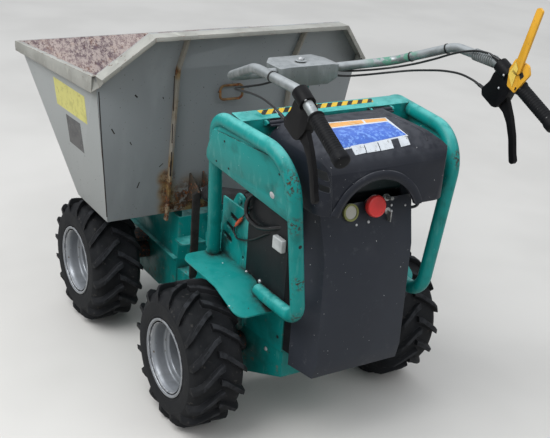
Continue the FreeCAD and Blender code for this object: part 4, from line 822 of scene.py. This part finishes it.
inside = skip_inside()
outside = skip_grey("skip_paint", [(spot(p, "skip_shell"), r, k) for p, r, k in SHELL_STAINS])
ribs_paint = skip_grey("rib_paint", [(spot(p, "skip_ribs", "skip_shell"), r, k) for p, r, k in RIB_STAINS],
    (150, 146, 138))
rim_paint = rim_cream()
# Dark material for the nicks and the corner seam, and for the painted shadow along the rib.
dark_mark_and_shadow = plain_metal("rib_shadow_and_dark_marks", (40, 32, 28), 0.85, 0)
dress("skip_shell", [outside, inside], 0.0006, skip_side)
dress("skip_rim", rim_paint, 0.0009)
dress("skip_ribs", ribs_paint, 0.001)
dress("ram_lugs", plain_metal("lug_rust", (74, 66, 56), 0.8, 0.2, rust=0.3), 0.001)
dress("hand_loop", plain_metal("rusty_rod", (138, 108, 70), 0.7, 0.1, rust=0.5), 0)
skip_tree = node_tree("skip_ribs", "skip_shell")
# Painted shadow: dark beads along the rib where its side face is in shade.
for number, (start, end) in enumerate(RIB_SHADOW_LINES, 1):
    bead("rib_slit_%d" % number, pixel_row(skip_tree, start, end, 12), 0.006, 0.0012, dark_mark_and_shadow, "skip")
for number, (start, end, wide) in enumerate(NICKS, 1):
    bead("skip_nick_%d" % number, pixel_row(skip_tree, start, end, 4), wide, 0.0005, dark_mark_and_shadow, "skip")
bead("skip_corner_seam", pixel_line(skip_tree, SEAM_PIXELS), 0.0036, 0.0008, dark_mark_and_shadow, "skip")
fold = [on_surface(node_tree(node), pixel, lift)[0] for pixel, node, lift in FOLD_CORNERS]
for word, side in SIDES:
    made = bmesh.new()
    corners = [made.verts.new((p.x, p.y * side, p.z)) for p in fold]
    for face in FOLD_FACES:
        made.faces.new([corners[k] for k in face])
    bmesh.ops.solidify(oriented(made), geom=made.faces[:], thickness=FOLD_THICKNESS)
    piece("rim_fold_" + word, oriented(made), [rim_paint], "skip", smooth=20)
for name, corners, material in (
        ("skip_label_yellow", SKIP_LABEL, label_paint("label_yellow", (212, 206, 104), (186, 176, 96))),
        ("skip_plate_black", SKIP_PLATE, label_paint("plate_black", (34, 34, 36), (96, 96, 96)))):
    sticker(name, corners, skip_tree, material, body="skip")

# Front unit and ram

SHELF_BOTTOM = 0.345
SHELF_TOP = 0.353
LARGEST_SHELF_FACE = 0.005


def shelf_part(face):
    low_face = SHELF_BOTTOM < face.calc_center_median().z < SHELF_TOP
    return 1 if low_face and face.calc_area() < LARGEST_SHELF_FACE else 0


low_teal = teal_paint("teal_low", darken_and_dust_below=0.42)
steel_dark = plain_metal("axle_black", (44, 44, 46), 0.6, 0.3, rust=0.3)
for node, material, width in (("front_chassis", low_teal, 0.0012), ("neck", low_teal, 0.0012),
        ("ram_bracket", low_teal, 0.001), ("rear_chassis", low_teal, 0.0012),
        ("front_axle", steel_dark, 0.001), ("rear_axle", steel_dark, 0.001)):
    dress(node, material, width)
dress("latch_bar", [plain_metal("dull_steel", (54, 52, 50), 0.6, 0.3), low_teal], 0.0008, shelf_part)
dress("ram_barrel", black_part("ram_black", (34, 34, 36), 0.45), 0.0008)
dress("ram_rod", plain_metal("rod_bright", (196, 198, 200), 0.18, 1), 0.0006)

# Body

# Place and radius of the worn spots on the guard loops
LOOP_CHIPS = [((-0.606, 0.262, 0.83), 0.06), ((-0.61, 0.25, 0.72), 0.035), ((-0.606, -0.262, 0.83), 0.04),
    ((-0.61, 0.22, 0.56), 0.03), ((-0.6, 0.21, 0.45), 0.03)]
COVER_NORMAL = Vector((-0.9722, 0, 0.2338))
BUTTON_PLACE = Vector((-0.59, -0.01, 0.7285))
BUTTON_BASE = -0.006
DIAL_RISE = 0.0025
DIAL_FACING = 0.9
FUSE_PIXEL = (237.5, 220.8)
FUSE_REACH = 0.027

fuse_place = spot(FUSE_PIXEL, "battery_cable")
gauge_low, gauge_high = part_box("gauge")
gauge_middle = (gauge_low + gauge_high) / 2


def fuse_part(face):
    return 1 if (face.calc_center_median() - fuse_place).length < FUSE_REACH else 0


# Faces of the base under the cap, which get the painted shadow.
def button_base_shadow_part(face):
    return 1 if (face.calc_center_median() - BUTTON_PLACE).dot(COVER_NORMAL) < BUTTON_BASE else 0


def gauge_part(face):
    """The dial is the inner outward face, sunk below the ring."""
    rise = (face.calc_center_median() - gauge_middle).dot(COVER_NORMAL)
    return 1 if face.normal.dot(COVER_NORMAL) > DIAL_FACING and rise < DIAL_RISE else 0


loop_teal = teal_paint("teal_loops", LOOP_CHIPS, darken_and_dust_below=0.25)
# The step's upward faces get a painted highlight of this top colour.
step_teal = teal_paint("teal_step", darken_and_dust_below=0.2, top=(34, 140, 136))
hood_look = hood_plastic("hood_dark", (33, 36, 44), 0.46)
cable = black_part("cable_black", (11, 11, 13), 0.38)
for word, side in SIDES:
    dress("guard_loop_" + word, loop_teal, 0.0008)
    dress("step_plate_" + word, step_teal, 0.001)
panel_finish = dress("side_panels", loop_teal, 0.0006)
cross_finish = dress("cross_plate", loop_teal, 0.0006)
hood_finish = dress("hood", hood_look, 0.0025, angle=40, segments=3)
for node, material, width in (
        ("slotted_panels", loop_teal, 0.0006), ("power_cable", cable, 0), ("brake_cables", cable, 0),
        ("battery_box", black_part("battery_black", (13, 16, 19), 0.55, 0.3), 0.002),
        ("rear_panel", hood_plastic("cover_dark", (44, 48, 56), 0.5), 0.001),
        ("connector", plain_paint("white_plug", (196, 200, 200), 0.5), 0.0005),
        ("key_switch", plain_metal("key_silver", (168, 170, 168), 0.35, 0.8), 0.0004)):
    dress(node, material, width)
dress("battery_cable", [cable, plain_paint("fuse_orange", (214, 92, 56), 0.4, 0.2)], 0, fuse_part)
# The button's base is black: painted shadow beneath the red cap.
dress("stop_button", [plain_paint("button_red", (224, 52, 50), 0.35, 0.2), black_part("button_base_shadow")], 0.0012,
    button_base_shadow_part)
dress("gauge", [plain_paint("gauge_olive", (122, 126, 66), 0.4),
    plain_paint("gauge_dial", (176, 176, 166), 0.3, 0.2)], 0.0008, gauge_part)

# Labels, beads and small fittings of the body

white = label_paint("label_white", (206, 212, 218), (150, 150, 150))
orange = label_paint("label_orange", (224, 162, 84), (208, 178, 130))
blue = label_paint("label_blue", (52, 98, 190), (104, 144, 214), 0.51)
hood_tree = tree_of(hood_finish)
HOOD_LABELS = [
    ("hood_label_back", [(312.6, 123.9), (385.6, 117.6), (408.2, 135.8), (342.2, 150.2)], white, 0.0004),
    ("hood_label_orange_left", [(315, 125.1), (361.4, 120.2), (364, 123.4), (319.4, 129.2)], orange, 0.0008),
    ("hood_label_orange_right", [(363.6, 119.9), (385, 118.4), (387.4, 120.8), (366.2, 123)], orange, 0.0008),
    ("hood_label_blue", [(320.2, 130.1), (387.4, 121.9), (406.2, 134.8), (343.6, 148.4)], blue, 0.0008),
    ("hood_label_1", [(350.4, 146.3), (363, 143.9), (366.3, 152.8), (355.4, 155.4)], white, 0.0012),
    ("hood_label_2", [(364.1, 144), (376.8, 142.2), (380.2, 150.8), (367.3, 153)], white, 0.0012),
    ("hood_label_3", [(377.9, 142.1), (390.6, 139.8), (393.7, 148.3), (381.3, 150.8)], white, 0.0012),
    ("hood_label_4", [(397.9, 138), (406.9, 136.6), (410.2, 144.8), (401.1, 147)], white, 0.0012),
]
HOOD_RIM_PIXELS = [(318, 119), (330, 116.4), (352, 114.4), (378, 113.6), (390, 116), (404, 121.8),
    (417, 128), (424, 133), (427.5, 140)]
HOOD_EDGE_PIXELS = [(329, 160), (330.6, 176), (331.6, 196), (331.8, 214)]
ARCH_START = Vector((-0.8, 0.034, 0.702))
ARCH_BAND_RADIUS = 0.1385
ARCH_BAND_WIDTH = 0.022
ARCH_FIRST_ANGLE = 20.5
ARCH_SWEEP = 139
ARCH_STEPS = 40

for name, corners, material, lift in HOOD_LABELS:
    sticker(name, corners, hood_tree, material, lift, "hood")
bead("hood_rim_bead", pixel_line(hood_tree, HOOD_RIM_PIXELS), 0.007, 0.0016, hood_look, "hood")
bead("hood_edge_bead", pixel_line(hood_tree, HOOD_EDGE_PIXELS), 0.005, 0.0014, hood_look, "hood")
arch_line = []
for step in range(ARCH_STEPS + 1):
    angle = math.radians(ARCH_FIRST_ANGLE + step * ARCH_SWEEP / ARCH_STEPS)
    start = ARCH_START + Vector((0, math.cos(angle), math.sin(angle))) * ARCH_BAND_RADIUS
    place, normal, _, _ = hood_tree.ray_cast(start, Vector((1, 0, 0)))
    arch_line.append((place, normal if normal.x < 0 else -normal))
bead("hood_arch_band", arch_line, ARCH_BAND_WIDTH, 0.0035, hood_look, "hood")

HAZARD_CORNERS = [(256.6, 110.6), (371.2, 98.6), (373.6, 102), (262.8, 114.8)]
# Pixel rows of the slots in the cross plate, drawn as dark beads: painted shade inside the slots.
CROSS_SLOT_SHADES = [((367.4, 108.7), (384, 107.1)), ((270.2, 119.6), (281, 118.6))]
cross_tree = tree_of(cross_finish)
# Near-black material: painted shade in holes, slots, behind the slotted panels and in the lever's hollow, and
# the dark panel screws.
hole_shade_and_dark_screws = black_part("hole_shade_and_dark_screws", (12, 12, 13), 0.7)
sticker("cross_hazard_strip", HAZARD_CORNERS, cross_tree, hazard_paint(), 0.0005, cells=24)
for number, (start, end) in enumerate(CROSS_SLOT_SHADES, 1):
    bead("cross_slot_shade_%d" % number, pixel_row(cross_tree, start, end, 6), 0.006, 0.0005, hole_shade_and_dark_screws)

silver_bolt = plain_metal("bolt_silver", (196, 198, 200), 0.35, 0.35)
panel_tree = tree_of(panel_finish)
PANEL_SCREWS = [(224.5, 141.3), (216.4, 160.9), (228.6, 168.6), (279.3, 174.3)]
GROMMET_PIXEL = (268, 182)
GROMMET_PLACE = Vector((-0.4981, 0.2474, 0.762))
for number, pixel in enumerate(PANEL_SCREWS, 1):
    dome("panel_screw_%d" % number, *on_surface(panel_tree, pixel), 0.0032, 0.0014, hole_shade_and_dark_screws)
normal = on_surface(panel_tree, GROMMET_PIXEL)[1]
dome("panel_grommet", GROMMET_PLACE + normal * 0.0008, normal, 0.013, 0.003, silver_bolt)

body_tree = node_tree("battery_box", "rear_chassis", "step_plate_left", "guard_loop_left", "slotted_panels",
    "rear_panel", "cross_plate", "guard_loop_right", "bar_post")
# Name, pixel, radius, height and material
FITTINGS = [
    # The two holes are dark discs: painted shade inside the holes.
    ("loop_hole_shade_left", (300.3, 247.3), 0.005, 0.0008, hole_shade_and_dark_screws),
    ("tray_hole_shade_left", (277.4, 336.9), 0.005, 0.0008, hole_shade_and_dark_screws),
    ("tray_bolt_left", (259.8, 281.2), 0.006, 0.0045, silver_bolt),
    ("tray_bolt_mid", (246.6, 271.4), 0.0045, 0.003, silver_bolt),
    ("chassis_bolt_left", (265.9, 348.6), 0.0065, 0.005, silver_bolt),
    ("step_screw_1", (222.6, 263), 0.0022, 0.0008, white),
    ("step_screw_2", (229.4, 305.8), 0.0022, 0.0008, white),
]
COVER_SCREWS = [((367.2, 200.1), 0.004, 0.002), ((368.5, 221.8), 0.0045, 0.0024), ((391.5, 205), 0.004, 0.002),
    ((391.5, 211), 0.004, 0.002), ((405.2, 205), 0.0035, 0.0018), ((356.5, 225), 0.0035, 0.0018)]
FITTINGS += [("cover_screw_%d" % number, *screw, silver_bolt) for number, screw in enumerate(COVER_SCREWS, 1)]
for name, pixel, radius, height, material in FITTINGS:
    dome(name, *on_surface(body_tree, pixel), radius, height, material)

# Dark sheet behind the slotted panels: painted shade seen through the slots.
SLOT_SHADE_SHEET = [(-0.262, 0.486), (-0.158, 0.486), (-0.158, 0.6), (-0.262, 0.6)]
SLOT_SHADE_SHEET_Y = 0.1838
SHEET_FRONT, SHEET_BACK = Vector((-0.244, 0.2995, 0.866)), Vector((-0.6, 0.249, 0.866))
TUBE_FRONT, TUBE_BACK = Vector((-0.2557, 0.2825, 0.8995)), Vector((-0.5957, 0.2588, 0.8889))
UPPER_START = 0.06
UPPER_END = 0.76
upper_strip = [SHEET_FRONT.lerp(SHEET_BACK, UPPER_START), SHEET_FRONT.lerp(SHEET_BACK, UPPER_END),
    TUBE_FRONT.lerp(TUBE_BACK, UPPER_END), TUBE_FRONT.lerp(TUBE_BACK, UPPER_START)]
for word, side in SIDES:
    shade_sheet = [Vector((x, SLOT_SHADE_SHEET_Y * side, z)) for x, z in SLOT_SHADE_SHEET]
    slab("slot_shade_sheet_" + word, shade_sheet, -0.0015 * side, hole_shade_and_dark_screws)
    slab("panel_upper_" + word, [Vector((p.x, p.y * side, p.z)) for p in upper_strip], 0.003, loop_teal)

# Handlebar

LEFT_BAR = [Vector(p) for p in ((-0.226, 0.09, 0.992), (-0.272, 0.262, 1.007), (-0.463, 0.302, 1.082),
    (-0.64, 0.288, 1.074), (-0.848, 0.3055, 0.9798))]
RIGHT_BAR = [Vector(p) for p in ((-0.226, -0.09, 0.992), (-0.272, -0.265, 1.01), (-0.463, -0.319, 1.093),
    (-0.642, -0.312, 1.093), (-0.8478, -0.3168, 0.9915))]
BAR_RADIUS = 0.0125
GRIP_LENGTH = 0.14
GRIP_RIBS = 15
RIBS_START = -0.1342
RIBS_END = -0.019
# Radius and distance from the bar's end
GRIP_COLLAR = [(0.0129, -GRIP_LENGTH), (0.019, -GRIP_LENGTH), (0.02, -0.1388), (0.02, -0.1358),
    (0.0172, RIBS_START)]
GRIP_BULB = [(0.0178, -0.0182), (0.0194, -0.0165), (0.02, -0.013), (0.02, -0.001), (0.0192, 0.003),
    (0.017, 0.0052), (0.013, 0.006), (0, 0.006), (0, 0), (0.0129, 0)]
TIE_PROFILE = [(BAR_RADIUS, -0.0022), (BAR_RADIUS + 0.0016, -0.002), (BAR_RADIUS + 0.0016, 0.002),
    (BAR_RADIUS, 0.0022)]
SLEEVE_HALF = 0.04
SLEEVE_PITCH = 0.008
SLEEVE_RIBS = 10
SLEEVE_LOW = BAR_RADIUS + 0.0008
SLEEVE_HIGH = BAR_RADIUS + 0.0036
YOKE_BOLT_PIXEL = (300.6, 60.4)
ADJUSTER_PIXELS = {"left": (283, 117.5), "right_lower": (483.5, 88), "right_upper": (507, 50.5)}
ADJUSTER_NEAR = 0.018
ADJUSTER_FAR = 0.04
TAB_PIXELS = [(508.6, 74), (516.4, 61.6), (518.4, 69), (512, 87)]
# Corners of the lever's hollow, drawn as a dark patch: painted shade.
HOLLOW_SHADE_PIXELS = [(519.2, 74), (522.6, 72.2), (524, 76.6), (520.4, 80)]
HOUSING_SCREWS = [(503.6, 75.2), (498.6, 88), (305.6, 100.2)]


def run_place(start, end, x):
    return start + (end - start) * ((x - start.x) / (end.x - start.x))


def grip_mesh(made, bar):
    """Ribbed rubber sleeve with a collar and a rounded bulb."""
    profile = list(GRIP_COLLAR)
    pitch = (RIBS_END - RIBS_START) / GRIP_RIBS
    for k in range(GRIP_RIBS):
        start = RIBS_START + k * pitch
        profile += [(0.0166, start + 0.0008), (0.0166, start + 0.0016), (0.0176, start + 0.0028),
            (0.0178, start + pitch * 0.6), (0.0174, start + pitch * 0.92)]
    lathe(made, profile + GRIP_BULB, 40, bar[-1], (bar[-1] - bar[-2]).normalized())
    bmesh.ops.remove_doubles(made, verts=made.verts, dist=WELD)


bars = galvanised("bar_zinc", [((-0.25, -0.26, 1), 0.1), ((-0.33, -0.28, 1.02), 0.06)])
housing = black_part("housing_black", (10, 10, 12), 0.45, 0.12)
rubber_grip = black_part("grip_black", (12, 13, 16), 0.55, 0.15)
strap = black_part("strap_black", (12, 12, 13), 0.45)
pale_yellow = plain_paint("lever_yellow_pale", (232, 200, 92), 0.4, 0.7)
dress("bar_post", teal_paint("teal_post"), 0.0008)
dress("handlebar_left", bars, 0)
dress("handlebar_right", bars, 0)
dress("yellow_lever", plain_paint("lever_yellow", (226, 168, 42), 0.4, 0.7), 0.001)
for node, material, width in (("yoke_box", bars, 0.0022), ("lever_housings", housing, 0.0022),
        ("brake_levers", housing, 0.002)):
    dress(node, material, width, segments=3)
made = bmesh.new()
grip_mesh(made, LEFT_BAR)
grip_mesh(made, RIGHT_BAR)
piece("grips_finish", oriented(made), [rubber_grip], "rear_unit", ["grips"], None, 42)
for name, start, end, x in (("tie_left", LEFT_BAR[2], LEFT_BAR[3], -0.534),
        ("clip_right", RIGHT_BAR[1], RIGHT_BAR[2], -0.438),
        ("tie_right", RIGHT_BAR[1], RIGHT_BAR[2], -0.33)):
    band(name, TIE_PROFILE, run_place(start, end, x), end - start, strap)
sleeve_profile = [(BAR_RADIUS, -SLEEVE_HALF)]
for k in range(SLEEVE_RIBS):
    start = -SLEEVE_HALF + k * SLEEVE_PITCH
    sleeve_profile += [(SLEEVE_LOW, start), (SLEEVE_HIGH, start + 0.0018), (SLEEVE_HIGH, start + 0.005),
        (SLEEVE_LOW, start + 0.0066)]
sleeve_profile.append((BAR_RADIUS, SLEEVE_HALF))
band("bar_ribs_right", sleeve_profile, run_place(*RIGHT_BAR[2:4], -0.584), RIGHT_BAR[3] - RIGHT_BAR[2], bars)

place = spot(YOKE_BOLT_PIXEL, "yoke_box")
level = Vector((0, 0, 1))
dome("yoke_washer", place, level, 0.016, 0.0022, bars)
dome("yoke_bolt", place + level * 0.0015, level, 0.0082, 0.0085, silver_bolt)
cable_points = [vertex.co.copy() for vertex in nodes["brake_cables"].data.vertices]
for word, pixel in ADJUSTER_PIXELS.items():
    ray = pixel_ray(*pixel)
    start = min(cable_points, key=lambda p: (p - CAMERA_PLACE).cross(ray).length)
    close = [p for p in cable_points if ADJUSTER_NEAR < (p - start).length < ADJUSTER_FAR]
    ahead = [p for p in close if p.x > start.x]
    behind = [p for p in close if p.x < start.x]
    kept = max(ahead, behind, key=len)
    way = (sum(kept, Vector()) / len(kept) - start).normalized()
    wire("adjuster_" + word, [start - way * 0.01, start + way * 0.012], 0.0046, strap)
    wire("adjuster_sleeve_" + word, [start + way * 0.01, start + way * 0.026], 0.0036, silver_bolt)
lever_tree = node_tree("yellow_lever", "lever_housings")
sticker("lever_tab", TAB_PIXELS, lever_tree, pale_yellow, 0.0012)
# Painted shade in the lever's hollow.
sticker("lever_hollow_shade", HOLLOW_SHADE_PIXELS, lever_tree, hole_shade_and_dark_screws, 0.0006)
for number, pixel in enumerate(HOUSING_SCREWS, 1):
    dome("housing_screw_%d" % number, *on_surface(lever_tree, pixel), 0.0032, 0.0016, silver_bolt)

# Light and floor

SKY_COLOUR = (0.93, 0.96, 1, 1)
SKY_LOW = 0.34
SKY_HIGH = 1.22
SKY_LEVEL = 0.85
# Name, place, point aimed at, size and power
LAMPS = (("key", Vector((-0.3, 2.4, 3.8)), Vector((0, 0, 0.5)), 2.8, 116),
    ("fill", Vector((-3.4, -1.2, 2.8)), Vector((0, 0, 0.6)), 2.4, 16))
FLOOR_RADIUS = 14
FLOOR_HEIGHT = -0.0005
FLOOR_BOUNCE = (150, 146, 138)


def make_light():
    world = bpy.data.worlds.new("sky")
    bpy.context.scene.world = world
    world.use_nodes = True
    sky = world.node_tree
    background = sky.nodes["Background"]
    background.inputs["Color"].default_value = SKY_COLOUR
    place = sky.nodes.new("ShaderNodeTexCoord")
    parts = sky.nodes.new("ShaderNodeSeparateXYZ")
    ramp = sky.nodes.new("ShaderNodeMapRange")
    sky.links.new(place.outputs["Generated"], parts.inputs[0])
    sky.links.new(parts.outputs["Z"], ramp.inputs["Value"])
    sky.links.new(ramp.outputs["Result"], background.inputs["Strength"])
    for name, value in (("From Max", SKY_LEVEL), ("To Min", SKY_LOW), ("To Max", SKY_HIGH)):
        ramp.inputs[name].default_value = value
    for name, place, aim, size, power in LAMPS:
        data = bpy.data.lights.new(name, "AREA")
        data.energy = power
        data.size = size
        lamp = added(name, data)
        lamp.location = place
        lamp.rotation_euler = (aim - place).to_track_quat("-Z", "Y").to_euler()


def make_floor():
    made = bmesh.new()
    bmesh.ops.create_circle(made, cap_ends=True, segments=96, radius=FLOOR_RADIUS)
    mesh = bpy.data.meshes.new("floor")
    made.to_mesh(mesh)
    made.free()
    look = Look("floor_pale", (206, 204, 200), 0.9, specular=0.2)
    look.layer(look.patches(1.2, 0.35, 0.7), (198, 196, 192))
    material = look.done()
    tree = material.node_tree
    dull = look.node("BsdfDiffuse", {"Color": srgb(*FLOOR_BOUNCE)})
    path = look.node("LightPath")
    seen = look.either(look.either(path.outputs["Is Camera Ray"], path.outputs["Is Glossy Ray"]),
        path.outputs["Is Transmission Ray"])
    joined = look.node("MixShader", {0: seen, 1: dull.outputs[0], 2: look.shader.outputs[0]})
    tree.links.new(joined.outputs[0], tree.nodes["Material Output"].inputs["Surface"])
    mesh.materials.append(material)
    floor = added("floor", mesh)
    floor.location.z = FLOOR_HEIGHT


make_light()
make_floor()
bpy.context.scene.view_settings.view_transform = "Standard"
